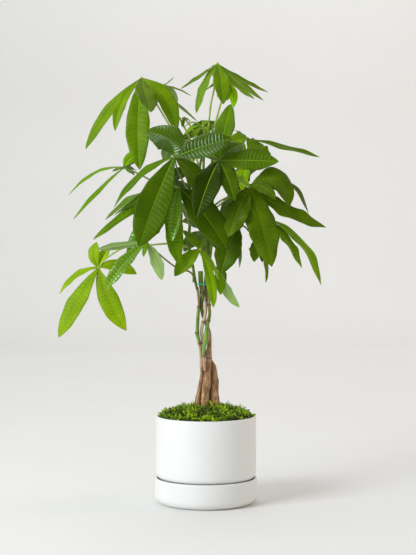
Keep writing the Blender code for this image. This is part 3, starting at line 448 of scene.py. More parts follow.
# How strongly each leaflet's skin is pillowed and shines. The rest have LEAST_GLOSS, and those from
# GLOSSY_FROM up have the glossy material.
LEAFLET_GLOSS = {
    "leaf_centre": (0.5, 0.45, 0.4, 0.25),
    "leaf_front_left": (0.9, 0.75, 0.3, 0.45),
    "leaf_front_low": (1.0, 0.35, 0.4, 1.0),
    "leaf_left_low": (0.2, 0.3, 1.0),
    "leaf_left_inner": (0.6, 0.4, 0.5),
    "leaf_right": (0.4, 0.3, 0.3, 0.2),
    "leaf_top_right": (0.3, 0.6),
    "leaf_bottom_middle": (0.3, 0.2),
}
LEAST_GLOSS = 0.15
GLOSSY_FROM = 0.55
GLOSSY_SPECULAR = 0.65
GLOSSY_TINT = (0.8, 1.0, 0.85)
MATT_TINT = (0.7, 1.0, 0.4)
UNDER_SPECULAR = 0.15
PALE_LOOKS = ("bright", "light")
PALE_STALK = (0.32, 0.48, 0.06)
GREEN_STALK = (0.13, 0.24, 0.02)


# Materials


class Nodes:
    """Short calls for building one material's node tree."""

    def __init__(self, name):
        self.material = bpy.data.materials.new(name)
        self.material.use_nodes = True
        self.tree = self.material.node_tree
        self.shader = self.tree.nodes["Principled BSDF"]

    def node(self, kind, inputs=None, **settings):
        made = self.tree.nodes.new(kind)
        for key, value in settings.items():
            setattr(made, key, value)
        for key, value in (inputs or {}).items():
            self.put(made.inputs[key], value)
        return made

    def put(self, socket, value):
        if isinstance(value, bpy.types.NodeSocket):
            self.tree.links.new(value, socket)
        elif isinstance(value, tuple) and len(value) == 3 and socket.type == "RGBA":
            socket.default_value = (*value, 1.0)
        else:
            socket.default_value = value

    def set(self, **inputs):
        for key, value in inputs.items():
            self.put(self.shader.inputs[key.replace("_", " ")], value)

    def math(self, operation, *values):
        return self.node("ShaderNodeMath", dict(enumerate(values)), operation=operation).outputs[0]

    def mix(self, share, first, second, blend="MIX"):
        inputs = {0: share, 6: first, 7: second}
        return self.node("ShaderNodeMix", inputs, data_type="RGBA", blend_type=blend).outputs[2]

    def times(self, first, second):
        return self.math("MULTIPLY", first, second)

    def plus(self, first, second):
        return self.math("ADD", first, second)

    def shaded(self, colour, shade):
        """The colour times a shade of grey."""
        grey = self.node("ShaderNodeCombineColor", {0: shade, 1: shade, 2: shade}).outputs[0]
        return self.mix(1.0, colour, grey, "MULTIPLY")

    def span(self, value, low, high, to_low=0.0, to_high=1.0, smooth=True):
        """The value's range from low to high, turned into the range from to_low to to_high."""
        inputs = dict(enumerate((value, low, high, to_low, to_high)))
        kind = "SMOOTHSTEP" if smooth else "LINEAR"
        return self.node("ShaderNodeMapRange", inputs, interpolation_type=kind).outputs[0]

    def parts(self, name):
        """The three parts of a vertex attribute."""
        attribute = self.node("ShaderNodeAttribute", attribute_name=name)
        split = self.node("ShaderNodeSeparateXYZ", {0: attribute.outputs["Vector"]})
        return tuple(split.outputs)

    def place(self, stretch=(1, 1, 1)):
        """Object coordinates, stretched."""
        own = self.node("ShaderNodeTexCoord").outputs["Object"]
        return self.node("ShaderNodeMapping", {"Vector": own, "Scale": stretch}).outputs[0]

    def noise(self, scale, detail=3.0, vector=None, roughness=0.5):
        inputs = {"Vector": vector or self.place(), "Scale": scale, "Detail": detail, "Roughness": roughness}
        return self.node("ShaderNodeTexNoise", inputs).outputs["Fac"]

    def bump(self, height, distance, strength=1.0):
        made = self.node("ShaderNodeBump", {"Height": height, "Distance": distance, "Strength": strength})
        self.put(self.shader.inputs["Normal"], made.outputs[0])


def scaled(colour, factor):
    return tuple(c * factor for c in colour)


def off_vein(n, phase):
    """How far a point lies from the nearest side vein, in spacings of the veins."""
    return n.math("ABSOLUTE", n.math("SUBTRACT", n.math("FRACT", n.plus(phase, 0.5)), 0.5))


def leaf_top(name, colour, rib_colour, roughness, specular, tint):
    """The upper side: a midrib, pale in most looks but darker with painted shade in the bright look, side veins
    with the skin pillowed between them, and a mottled gloss.
    """
    n = Nodes(name)
    off_midrib, phase, along = n.parts("vein")
    tone, gloss, _ = n.parts("tone")
    rib_width = n.span(along, 0.0, 1.0, 0.95, 0.15, smooth=False)
    rib = n.span(n.math("SUBTRACT", off_midrib, rib_width), -0.2, 0.4, 1.0, 0.0)
    from_vein = off_vein(n, phase)
    vein = n.times(n.span(from_vein, 0.01, 0.08, 1.0, 0.0), n.span(off_midrib, 3.0, 18.0, 1.0, 0.3))
    # Low in the vein grooves, high on the pillows between them: it raises the bump, and it also paints shade
    # into the grooves and light onto the pillows.
    pillow = n.span(from_vein, 0.0, 0.28)
    broad = n.noise(22.0, 2.0)
    shade = n.plus(n.span(broad, 0.3, 0.7, 0.86, 1.14), n.span(n.noise(420.0), 0.3, 0.7, -0.09, 0.09))
    # The tone carries each leaflet's painted light and shade as well as its own green.
    shade = n.times(n.times(shade, tone), n.span(pillow, 0.0, 1.0, 0.91, 1.03, smooth=False))
    yellow = (colour[0] * 1.35, colour[1] * 1.12, colour[2])
    lamina = n.mix(n.span(broad, 0.45, 0.75, 0.0, 0.45), colour, yellow)
    lamina = n.shaded(n.mix(n.times(vein, 0.18), lamina, rib_colour), shade)
    n.set(Base_Color=n.mix(n.times(rib, 0.8), lamina, rib_colour))
    worn = n.span(n.noise(60.0), 0.3, 0.7, roughness - 0.04, roughness + 0.08)
    n.set(Roughness=n.math("SUBTRACT", worn, n.times(gloss, 0.22)))
    n.set(Specular_IOR_Level=specular, Specular_Tint=tint)
    height = n.times(n.times(pillow, gloss), n.span(along, 0.8, 1.0, 1.6, 0.0))
    height = n.plus(height, n.times(n.noise(900.0, 2.0), 0.1))
    n.bump(n.plus(height, n.times(n.noise(120.0, 2.0), 0.6)), LEAF_RELIEF)
    return n.material


def leaf_under(name, colour):
    """The underside: paler and dull, with a raised pale midrib and veins."""
    n = Nodes(name)
    off_midrib, phase, _ = n.parts("vein")
    tone = n.parts("tone")[0]
    rib = n.span(off_midrib, 0.5, 1.3, 1.0, 0.0)
    vein = n.span(off_vein(n, phase), 0.02, 0.08, 1.0, 0.0)
    # The tone carries each leaflet's painted light and shade as well as its own green.
    lamina = n.shaded(colour, n.times(n.span(n.noise(30.0), 0.3, 0.7, 0.85, 1.12), tone))
    light = (colour[0] * 1.4 + 0.04, colour[1] * 1.25 + 0.04, colour[2] * 1.4 + 0.01)
    n.set(Base_Color=n.mix(n.math("MAXIMUM", rib, n.times(vein, 0.5)), lamina, light))
    n.set(Roughness=n.span(n.noise(80.0), 0.3, 0.7, 0.5, 0.66))
    n.set(Specular_IOR_Level=UNDER_SPECULAR, Specular_Tint=MATT_TINT)
    n.bump(n.plus(vein, n.times(n.noise(700.0), 0.4)), 0.0003, 0.6)
    return n.material


def stalk_material(name, colour):
    """Smooth green skin with darker streaks along it."""
    n = Nodes(name)
    streak = n.noise(260.0, vector=n.place((1, 1, 0.15)))
    yellow = (colour[0] * 1.5 + 0.02, colour[1] * 1.05, colour[2])
    base = n.mix(n.span(n.noise(45.0), 0.35, 0.7), colour, yellow)
    n.set(Base_Color=n.mix(n.span(streak, 0.45, 0.75, 0.0, 0.5), base, scaled(colour, 0.55)))
    n.set(Roughness=n.span(streak, 0.3, 0.7, 0.38, 0.55))
    n.bump(streak, 0.0002, 0.5)
    return n.material


# Curves and tubes


def smooth(points, steps):
    """A Catmull-Rom curve through the points, with this many steps from each to the next."""
    points = np.asarray(points, float)
    row = np.vstack([2 * points[0] - points[1], points, 2 * points[-1] - points[-2]])
    t = (np.arange(steps) / steps)[:, None]
    found = []
    for a, b, c, d in zip(row, row[1:], row[2:], row[3:]):
        turn = (2 * a - 5 * b + 4 * c - d) * t**2 + (3 * b - a - 3 * c + d) * t**3
        found.append((2 * b + (c - a) * t + turn) / 2)
    return np.vstack([*found, points[-1:]])


def frames_along(centres):
    """Two cross directions along a line, that turn as little as they can."""
    tangents = unit(np.gradient(centres, axis=0))
    first = np.cross(tangents[0], (0.0, 0.0, 1.0) if abs(tangents[0][2]) < 0.9 else (0.0, 1.0, 0.0))
    across = [unit(first)]
    for tangent in tangents[1:]:
        across.append(unit(across[-1] - tangent * across[-1].dot(tangent)))
    across = np.array(across)
    return across, np.cross(tangents, across)


def circle(sides):
    """Angles all the way round, in radians."""
    return 2 * np.pi * np.arange(sides) / sides


def spokes(centres, sides):
    """Ways out from each point of a line, all the way round it."""
    angles = circle(sides)
    across, up = frames_along(centres)
    return across[:, None] * np.cos(angles)[None, :, None] + up[:, None] * np.sin(angles)[None, :, None]


class Shell:
    """Vertices, faces, face materials and vertex attributes gathered for one mesh."""

    def __init__(self, *names):
        self.names = names
        self.points, self.faces, self.slots, self.count = [], [], [], 0
        self.values = {name: [] for name in names}

    def add(self, points, faces, **values):
        """faces is a list of (face rows, material number)."""
        self.points.append(points)
        for rows, slot in faces:
            self.faces.append(np.asarray(rows) + self.count)
            self.slots.append(np.full(len(rows), slot))
        for name in self.names:
            self.values[name].append(np.broadcast_to(values.get(name, (0, 0, 0)), (len(points), 3)))
        self.count += len(points)

    def piece(self, name, materials, is_smooth=True):
        mesh = bpy.data.meshes.new(name)
        points = np.vstack(self.points)
        faces = [row for block in self.faces for row in block.tolist()]
        mesh.from_pydata(points.tolist(), [], faces)
        for material in materials:
            mesh.materials.append(material)
        mesh.polygons.foreach_set("material_index", np.concatenate(self.slots).astype(np.int32))
        mesh.polygons.foreach_set("use_smooth", np.full(len(faces), is_smooth))
        for key in self.names:
            layer = mesh.attributes.new(key, "FLOAT_VECTOR", "POINT")
            layer.data.foreach_set("vector", np.vstack(self.values[key]).astype(np.float32).ravel())
        mesh.update()
        made = bpy.data.objects.new(name, mesh)
        bpy.context.scene.collection.objects.link(made)
        return made


def ring_faces(rings, sides):
    i, j = np.meshgrid(np.arange(rings - 1), np.arange(sides), indexing="ij")
    k = (j + 1) % sides
    low, high = i * sides, (i + 1) * sides
    return np.stack([low + j, low + k, high + k, high + j], -1).reshape(-1, 4)


def closed_faces(rings, sides):
    """Faces round a row of rings, and fans from the end rings to two end points that follow them."""
    j = np.arange(sides)
    k = (j + 1) % sides
    start, last = rings * sides, (rings - 1) * sides
    low = np.stack([np.full(sides, start), k, j], -1)
    high = np.stack([np.full(sides, start + 1), last + j, last + k], -1)
    return [ring_faces(rings, sides), low, high]


def add_tube(shell, centres, radii, sides, slot, lift=None, **values):
    """A closed round tube. lift is added to its radius, one value for each ring and side."""
    reach = np.broadcast_to(np.asarray(radii)[:, None], (len(centres), sides))
    if lift is not None:
        reach = reach + lift
    points = (centres[:, None] + spokes(centres, sides) * reach[..., None]).reshape(-1, 3)
    faces = [(rows, slot) for rows in closed_faces(len(centres), sides)]
    shell.add(np.vstack([points, centres[:1], centres[-1:]]), faces, **values)


# Leaves


def blade_share(t):
    """The blade's width at t of its length, as a share of its full width."""
    peak = BLADE_RISE / (BLADE_RISE + BLADE_FALL)
    most = peak**BLADE_RISE * (1 - peak) ** BLADE_FALL
    return np.maximum(t, 0) ** BLADE_RISE * np.maximum(1 - t, 0) ** BLADE_FALL / most


def turned_about(vector, axis, degrees):
    """The vector turned about a unit axis."""
    angle = math.radians(degrees)
    part = axis * axis.dot(vector)
    return part + (vector - part) * math.cos(angle) + np.cross(axis, vector) * math.sin(angle)


def blade_faces(rows, columns):
    """Upper faces, lower faces and the rims between them, for a grid of points and then a grid below it."""
    count = rows * columns
    i, j = np.meshgrid(np.arange(rows - 1), np.arange(columns - 1), indexing="ij")
    a, b = (i * columns + j).ravel(), (i * columns + j + 1).ravel()
    c, d = b + columns, a + columns
    left = np.arange(rows - 1) * columns
    right = left + columns - 1
    start = np.arange(columns - 1)
    end = (rows - 1) * columns + start
    rims = [
        np.stack([left, left + columns, left + columns + count, left + count], -1),
        np.stack([right + columns, right, right + count, right + columns + count], -1),
        np.stack([start + 1, start, start + count, start + 1 + count], -1),
        np.stack([end, end + 1, end + 1 + count, end + count], -1),
    ]
    return np.stack([a, b, c, d], -1), np.stack([d, c, b, a], -1) + count, np.vstack(rims)


def add_blade(shell, hub, leaflet, faces, tone, gloss, uneven, rng):
    """One leaflet: folded along its midrib, curled, waved at its margins and raised between its veins."""
    tip, width, arch, roll = leaflet
    chord = tip - hub
    length = np.linalg.norm(chord)
    bend = hub + chord * ARCH_AT + arch * 2
    start = BLADE_START / length
    rows, columns = BLADE_LEAST_ROWS + int(length / BLADE_ROW_STEP), BLADE_COLUMNS + 1
    t = (start + (1 - start) * np.linspace(0, 1, rows))[:, None]
    centre = hub * (1 - t) ** 2 + bend * 2 * t * (1 - t) + tip * t**2
    tangent = unit((bend - hub) * (1 - t) + (tip - bend) * t)
    side = unit(np.cross(tangent, turned_about(faces, chord / length, roll)))
    normal = np.cross(side, tangent)
    twist = np.radians(rng.uniform(-BLADE_TWIST, BLADE_TWIST)) * (t - 0.3)
    cos, sin = np.cos(twist), np.sin(twist)
    side, normal = side * cos + normal * sin, normal * cos - side * sin

    # u runs from -1 at one margin to 1 at the other, half is half the width and x is the way from the midrib.
    v = np.linspace(-1, 1, columns)
    u = np.sign(v) * np.abs(v) ** BLADE_COLUMN_POWER
    neck = NECK_RADIUS * np.exp(-t * length / NECK_LENGTH)
    turns, start_at = rng.uniform(1.6, 3.0), rng.uniform(0, 2 * np.pi)
    swing = 2 * np.pi * turns * t + start_at
    swell = 1 + uneven * np.sin(1.9 * swing + np.where(u > 0, 2.0, 0.0))
    half = np.maximum(width / 2 * blade_share(t) * swell, BLADE_LEAST_HALF) + neck
    x = np.abs(u)[None, :] * half
    phase = (t * length - VEIN_CURVE * x**2) / (VEIN_PITCH + VEIN_PITCH_SHARE * length)
    phase = phase + np.where(u > 0, 0.4, 0.0)
    fade = 4 * np.abs(u) * (1 - np.abs(u) ** 1.5) * np.clip((1 - t) * 5, 0, 1) * np.clip(t * 6, 0, 1)
    quilt = QUILT_HEIGHT * np.clip(half / 0.016, 0.2, 1.1) * fade * (0.5 - 0.5 * np.cos(2 * np.pi * phase))
    wave = np.sin(swing + np.where(u > 0, 1.3, 0.0)) * np.abs(u) ** 2.5
    wave = wave * uneven * WAVE_SHARE * np.clip(half / 0.014, 0, 1.5)
    groove = MIDRIB_GROOVE * np.exp(-((x / MIDRIB_GROOVE_REACH) ** 2)) * (1 - t)
    fold = BLADE_FOLD * rng.uniform(0.8, 1.25)
    curl = BLADE_CURL * rng.uniform(0.5, 1.5)
    height = half * (fold * np.abs(u) - curl * u**2) + quilt + wave - groove
    ridge = (MIDRIB_RIDGE * (1 - t) + MIDRIB_LEAST_RIDGE) * np.exp(-((x / MIDRIB_RIDGE_REACH) ** 2))
    flat = centre[:, None] + side[:, None] * (u[None, :] * half)[..., None]
    top = flat + normal[:, None] * (height + neck * 0.5)[..., None]
    low = flat + normal[:, None] * (height - BLADE_THICKNESS - ridge - neck)[..., None]

    upper, under, rims = blade_faces(rows, columns)
    slot = GLOSSY_SLOT if gloss >= GLOSSY_FROM else TOP_SLOT
    blocks = [(upper, slot), (under, UNDER_SLOT), (rims, UNDER_SLOT)]
    vein = np.stack([x * 1000, phase, np.broadcast_to(t, x.shape)], -1).reshape(-1, 3)
    points = np.vstack([top.reshape(-1, 3), low.reshape(-1, 3)])
    shell.add(points, blocks, vein=np.vstack([vein, vein]), tone=(tone, gloss, 0))


def add_ball(shell, centre, radius, slot, tall=1.0, **values):
    """A small closed ball, for a hub or a bud."""
    lean = (np.pi * (np.arange(1, BALL_RINGS) / BALL_RINGS))[:, None]
    turn = circle(BALL_SIDES)
    up = -np.cos(lean) * tall * np.ones(BALL_SIDES)
    ring = np.stack([np.sin(lean) * np.cos(turn), np.sin(lean) * np.sin(turn), up], -1).reshape(-1, 3)
    points = centre + np.vstack([ring, [[0, 0, -tall], [0, 0, tall]]]) * radius
    shell.add(points, [(rows, slot) for rows in closed_faces(BALL_RINGS - 1, BALL_SIDES)], **values)


def stem_at(name, height):
    """The stem's x, y, z and radius at this height."""
    route = smooth(STEMS[name], STEM_SAMPLES)
    return np.array([np.interp(height, route[:, 2], route[:, k]) for k in range(4)])


def stalk_line(plan):
    """From the side of the stem, level at first, through the stalk's points to the hub."""
    *middle, radius = stem_at(plan["stem"], plan["leaves_at"])
    out = unit((plan["stalk"][0] - middle) * (1, 1, 0))
    seat = np.array(middle) + out * (radius + SEAT_GAP)
    return np.vstack([[seat], smooth([seat + out * STALK_START, *plan["stalk"]], STALK_STEPS)])


def make_leaf(number, name, plan):
    rng = np.random.default_rng(100 + number)
    look = LOOK_OF.get(name, "dark")
    colour, rib_colour, roughness, specular, under, uneven = LEAF_LOOKS[look]
    shell = Shell("vein", "tone")
    line = stalk_line(plan)
    share = np.linspace(0, 1, len(line))
    radii = STALK_BASE_RADIUS + (STALK_END_RADIUS - STALK_BASE_RADIUS) * share
    radii = radii + STALK_BASE_FLARE * np.exp(-((share / STALK_FLARE_SHARE) ** 2))
    radii = radii + STALK_END_FLARE * np.exp(-(((1 - share) / STALK_FLARE_SHARE) ** 2))
    add_tube(shell, line, radii, STALK_SIDES, STALK_SLOT)
    hub = plan["stalk"][-1]
    add_ball(shell, hub, HUB_RADIUS, STALK_SLOT)
    tones_and_light, gloss = LEAFLET_TONE_AND_LIGHT.get(name, ()), LEAFLET_GLOSS.get(name, ())
    for place, leaflet in enumerate(plan["leaflets"]):
        # A leaflet's tone is a small random change times its listed tone, which holds painted light and shade.
        tone = rng.uniform(1 - TONE_CHANGE, 1 + TONE_CHANGE) * (tones_and_light[place] if place < len(tones_and_light) else 1.0)
        shine = gloss[place] if place < len(gloss) else LEAST_GLOSS
        add_blade(shell, hub, leaflet, plan["faces"], tone, shine, uneven, rng)
    materials = [
        leaf_top(name + "_top", colour, rib_colour, roughness, specular, MATT_TINT),
        leaf_under(name + "_under", under),
        stalk_material(name + "_stalk", PALE_STALK if look in PALE_LOOKS else GREEN_STALK),
        leaf_top(name + "_glossy", colour, rib_colour, roughness, GLOSSY_SPECULAR, GLOSSY_TINT),
    ]
    keep(shell.piece(name + "_foliage", materials), name)


def keep(piece, node):
    """Stands the piece in for a CAD node, on the one body, and hides that node."""
    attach(piece, "root")
    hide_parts(node)


def ripple(points, size, rng, count=16):
    """A smooth random value for each point, about -1 to 1, that changes over this size."""
    turns = unit(rng.normal(size=(count, 3))) * rng.uniform(0.5, 1.5, (count, 1)) * np.pi / size
    return np.sin(points @ turns.T + rng.uniform(0, 2 * np.pi, count)).sum(-1) / math.sqrt(count)


# Pot, saucer and soil


def arc(centre, radius, start, end, steps):
    """Profile points (r, z) on an arc. Angles are in degrees: 0 points outward and 90 up."""
    angles = np.radians(np.linspace(start, end, steps + 1))
    return list(np.stack([centre[0] + radius * np.cos(angles), centre[1] + radius * np.sin(angles)], -1))


def turned(name, profile, material):
    """A closed skin turned about Z. Its profile runs down its outer side and closes on itself or the axis."""
    profile = np.asarray(profile, float)
    on_axis = profile[0][0] == 0
    ends = profile if on_axis else np.vstack([profile, profile[:1]])
    rows = [ends[0]]
    for a, b in zip(ends, ends[1:]):
        count = max(1, int(np.linalg.norm(b - a) / PROFILE_STEP))
        rows.extend(a + (b - a) * (i + 1) / count for i in range(count))
    rings = np.array(rows[1:-1] if on_axis else rows[:-1])
    angles = circle(TURNED_SIDES)
    flat = rings[:, :1, None] * np.stack([np.cos(angles), np.sin(angles)], -1)
    height = np.broadcast_to(rings[:, 1:, None], (len(rings), TURNED_SIDES, 1))
    points = np.concatenate([flat, height], -1).reshape(-1, 3)
    if on_axis:
        faces = closed_faces(len(rings), TURNED_SIDES)
        points = np.vstack([points, [[0, 0, rows[0][1]], [0, 0, rows[-1][1]]]])
    else:
        j = np.arange(TURNED_SIDES)
        k = (j + 1) % TURNED_SIDES
        last = (len(rings) - 1) * TURNED_SIDES
        faces = [ring_faces(len(rings), TURNED_SIDES), np.stack([k, j, last + j, last + k], -1)]
    shell = Shell()
    shell.add(points, [(rows[:, ::-1], 0) for rows in faces])
    return shell.piece(name, [material])


def glaze_material():
    """Satin white glaze. The flat underside is bare clay."""
    n = Nodes("satin_glaze")
    height = n.node("ShaderNodeSeparateXYZ", {0: n.place()}).outputs[2]
    white = n.mix(n.span(n.noise(9.0), 0.3, 0.7), (0.86, 0.86, 0.845), (0.83, 0.83, 0.81))
    white = n.mix(n.span(n.noise(900.0, 2.0), 0.68, 0.78, 0.0, 0.18), white, (0.62, 0.58, 0.52))
    bare = n.span(height, 0.0002, 0.0007, 1.0, 0.0)
    n.set(Base_Color=n.mix(bare, white, (0.62, 0.56, 0.48)))
    rough = n.span(n.noise(40.0, 4.0), 0.3, 0.7, 0.38, 0.5)
    n.set(Roughness=n.math("MAXIMUM", rough, n.times(bare, 0.85)))
    n.bump(n.noise(160.0), 0.0003, 0.25)
    return n.material


def crumbly_material(name, grain, low, high, dark, light, roughness):
    """A dull, deeply grained material. grain is its noise's scale, detail and roughness."""
    n = Nodes(name)
    scale, detail, grain_roughness = grain
    height = n.noise(scale, detail, roughness=grain_roughness)
    n.set(Base_Color=n.mix(n.span(height, low, high), dark, light), Roughness=roughness)
    n.bump(height, 0.002)
    return n.material


def soil_material():
    colours = (0.02, 0.012, 0.008), (0.09, 0.055, 0.03)
    return crumbly_material("potting_mix", (300.0, 5.0, 0.7), 0.3, 0.7, *colours, 0.95)


def make_saucer(glaze):
    inside = SAUCER_RADIUS - SAUCER_WALL
    rim = SAUCER_WALL / 2
    corner = SAUCER_RADIUS - SAUCER_FOOT_RADIUS
    hollow = SAUCER_INNER_CORNER
    profile = [(0, SAUCER_FLOOR)]
    profile += arc((inside - hollow, SAUCER_FLOOR + hollow), hollow, -90, 0, 8)
    profile += arc((inside + rim, SAUCER_TOP - rim), rim, 180, 0, 12)
    profile += arc((SAUCER_FOOT_RADIUS, corner), corner, 0, -90, 14)
    profile += [(0, 0)]
    keep(turned("saucer_glazed", profile, glaze), "saucer")


def make_pot_and_soil(glaze):
    bottom = SAUCER_FLOOR + SEAT_GAP
    inside = POT_RADIUS - POT_WALL
    rim = POT_WALL / 2
    foot_inside = POT_FOOT_RADIUS - POT_WALL
    foot_top = POT_CORNER_TOP - POT_CORNER
    profile = arc((inside + rim, POT_TOP - rim), rim, 180, 0, 12)
    profile += arc((POT_RADIUS - POT_CORNER, POT_CORNER_TOP), POT_CORNER, 0, -72, 10)
    profile += [(POT_FOOT_RADIUS, foot_top), (POT_FOOT_RADIUS, bottom)]
    profile += [(DRAIN_HOLE_RADIUS, bottom), (DRAIN_HOLE_RADIUS, bottom + POT_FLOOR)]
    profile += [(foot_inside, bottom + POT_FLOOR), (foot_inside, foot_top + POT_WALL)]
    profile += [(inside, POT_CORNER_TOP)]
    keep(turned("pot_glazed", profile, glaze), "pot")

    low = bottom + POT_FLOOR + SEAT_GAP
    narrow, wide = foot_inside - SEAT_GAP, inside - SEAT_GAP
    shoulder = foot_top + POT_WALL + SEAT_GAP
    profile = [(0, SOIL_TOP), (wide, SOIL_TOP), (wide, POT_CORNER_TOP)]
    profile += [(narrow, shoulder), (narrow, low), (0, low)]
    keep(turned("soil_mix", profile, soil_material()), "soil")


# Moss


def moss_material():
    """Each sprig has its own tone, has painted shade at its foot, where the sprigs crowd, and is paler at its
    tip.
    """
    n = Nodes("moss_fronds")
    tone, along, brown = n.parts("moss")
    green = n.node("ShaderNodeValToRGB", {0: tone})
    ramp = green.color_ramp
    ramp.elements[0].color = (0.02, 0.045, 0.001, 1.0)
    ramp.elements[1].color = (0.50, 0.68, 0.008, 1.0)
    ramp.elements.new(0.30).color = (0.095, 0.21, 0.002, 1.0)
    ramp.elements.new(0.65).color = (0.24, 0.43, 0.003, 1.0)
    tinted = n.mix(brown, green.outputs[0], (0.16, 0.075, 0.018))
    # Painted shade: the sprig goes near black at its foot, down among the other sprigs, and pale at its tip.
    shade = n.span(along, 0.1, 0.9, 0.08, 1.35, smooth=False)
    shade = n.times(shade, n.span(n.noise(500.0, 2.0), 0.3, 0.7, 0.8, 1.2))
    n.set(Base_Color=n.shaded(tinted, shade), Roughness=0.62)
    n.bump(n.noise(1500.0, 2.0), 0.0002, 0.5)
    return n.material


def moss_base_material():
    colours = (0.012, 0.02, 0.004), (0.04, 0.085, 0.008)
    return crumbly_material("moss_base", (260.0, 4.0, 0.65), 0.35, 0.65, *colours, 0.9)


def moss_height(x, y):
    """The mound's height, a little below the CAD model's, with lumps that end at its edge."""
    out = np.hypot(x, y) / MOSS_RADIUS
    lumps = ripple(np.stack([x, y, 0 * x], -1), MOSS_LUMP_SIZE, np.random.default_rng(MOSS_LUMP_SEED))
    mound = MOSS_EDGE_TOP + (MOSS_TOP - MOSS_EDGE_TOP) * (1 - out**2)
    return mound - MOSS_DROP + lumps * MOSS_LUMP * np.clip((1.02 - out) * 6, 0, 1)


def add_mound(shell):
    out = np.linspace(1, 0.01, MOSS_RINGS)[:, None] * MOSS_RADIUS
    angles = circle(MOSS_SIDES)
    x, y = (out * np.cos(angles)).ravel(), (out * np.sin(angles)).ravel()
    dome = np.stack([x, y, moss_height(x, y)], -1)
    skirt = dome[:MOSS_SIDES] * (1, 1, 0) + (0, 0, SOIL_TOP)
    points = np.vstack([skirt, dome, [[0, 0, SOIL_TOP], [0, 0, dome[-1, 2]]]])
    shell.add(points, [(rows, 1) for rows in closed_faces(MOSS_RINGS + 1, MOSS_SIDES)])


def sprig_spines(rng):
    """Five points along each sprig, its tangents and a side direction there, and how bright its clump is."""
    count = MOSS_SPRIGS
    radius = MOSS_RADIUS * np.sqrt(rng.uniform(0, 1, count)) * 0.995
    turn = rng.uniform(0, 2 * np.pi, count)
    x, y = radius * np.cos(turn), radius * np.sin(turn)
    clump = ripple(np.stack([x, y, 0 * x], -1), MOSS_CLUMP_SIZE, np.random.default_rng(MOSS_CLUMP_SEED))
    base = np.stack([x, y, moss_height(x, y) - 0.001], -1)
    edge = np.clip((radius / MOSS_RADIUS - 0.8) / 0.2, 0, 1)
    lean = np.radians(rng.uniform(8, 75, count)) * (1 - 0.35 * edge)
    way = rng.uniform(0, 2 * np.pi, count)
    inward = (edge > 0.55) & (rng.uniform(size=count) < 0.6)
    way = np.where(inward, turn + np.pi + rng.uniform(-1.3, 1.3, count), way)
    length = rng.uniform(0.006, 0.0125, count) * (1 + 0.25 * np.clip(clump, -1, 1))
    tall = rng.uniform(size=count) < 0.05
    length = np.where(tall & (edge < 0.6), length * 1.45, length)
    lean = np.where(tall, np.radians(rng.uniform(50, 80, count)), lean)
    start = np.stack([np.cos(way) * np.cos(lean), np.sin(way) * np.cos(lean), np.sin(lean)], -1)
    bend = unit(np.stack([rng.normal(size=count), rng.normal(size=count), rng.uniform(-1.0, 0.2, count)], -1))
    side = unit(np.cross(start, bend))
    steps = SPRIG_STEPS[None, :, None]
    spine = base[:, None] + (start[:, None] * steps + bend[:, None] * steps**2 * 0.32) * length[:, None, None]
    reach = np.hypot(spine[..., 0], spine[..., 1])
    spine[..., :2] *= np.minimum(1, MOSS_REACH / np.maximum(reach, 1e-9))[..., None]
    return spine, unit(np.gradient(spine, axis=1)), side, clump


def add_copies(shell, points, faces, tone, along, brown):
    """One small shape for each sprig. along gives each of its points a place from foot to tip, which sets how
    much painted shade it gets.
    """
    count, each = points.shape[:2]
    moss = np.stack(np.broadcast_arrays(tone[:, None], along, brown[:, None]), -1)
    rows = np.asarray(faces) + (np.arange(count) * each)[:, None, None]
    shell.add(points.reshape(-1, 3), [(rows.reshape(-1, 3), 0)], moss=moss.reshape(-1, 3))


def add_sprigs(shell, rng):
    """Thin three-sided stalks, each with small leaves along it."""
    count = MOSS_SPRIGS
    spine, tangent, side, clump = sprig_spines(rng)
    across = unit(np.cross(tangent, side[:, None]))
    side = np.cross(across, tangent)
    thick = np.array(MOSS_SPRIG_RADII)[None, :, None, None] * rng.uniform(0.8, 1.3, (count, 1, 1, 1))
    corner = circle(3)[:, None]
    around = side[:, :4, None] * np.cos(corner) + across[:, :4, None] * np.sin(corner)
    tube = (spine[:, :4, None] + around * thick).reshape(count, 12, 3)
    pairs = [(3 * r + j, 3 * r + (j + 1) % 3) for r in range(3) for j in range(3)]
    faces = [row for a, b in pairs for row in ((a, b, b + 3), (a, b + 3, a + 3))]
    faces += [(9, 10, 12), (10, 11, 12), (11, 9, 12), (0, 2, 1)]
    tone = np.clip(0.46 + 0.26 * clump + rng.normal(size=count) * 0.28, 0, 1)
    brown = np.where(rng.uniform(size=count) < 0.07, rng.uniform(0.5, 1.0, count), 0.0)
    along = np.concatenate([np.repeat(SPRIG_STEPS[:4], 3), [1.0]])
    add_copies(shell, np.concatenate([tube, spine[:, 4:]], 1), faces, tone, along, brown)

    for number in range(MOSS_LEAFLETS):
        place = 0.14 + 0.8 * number / MOSS_LEAFLETS
        i = min(3, int(place * 4))
        f = place * 4 - i
        root = spine[:, i] * (1 - f) + spine[:, i + 1] * f
        spread = np.radians(rng.uniform(-50, 50, count)) + (np.pi if number % 2 else 0)
        sideways = side[:, i] * np.cos(spread)[:, None] + across[:, i] * np.sin(spread)[:, None]
        way = unit(sideways + tangent[:, i] * rng.uniform(0.5, 1.1, (count, 1)))
        size = rng.uniform(0.0024, 0.0042, (count, 1)) * (1.15 - 0.5 * place)
        wide = unit(np.cross(way, rng.normal(size=(count, 3))))
        half = size * 0.26
        crest = root + np.cross(way, wide) * half * 0.8 + way * size * 0.3
        points = np.stack([root + wide * half, root - wide * half, crest, root + way * size], 1)
        faces = [(0, 2, 3), (2, 1, 3), (1, 0, 3), (0, 1, 2)]
        add_copies(shell, points, faces, tone, [place, place, place, place + 0.3], brown)


def make_moss():
    shell = Shell("moss")
    add_mound(shell)
    add_sprigs(shell, np.random.default_rng(7))
    keep(shell.piece("moss_sprigs", [moss_material(), moss_base_material()], is_smooth=False), "moss")


# Stems and tie


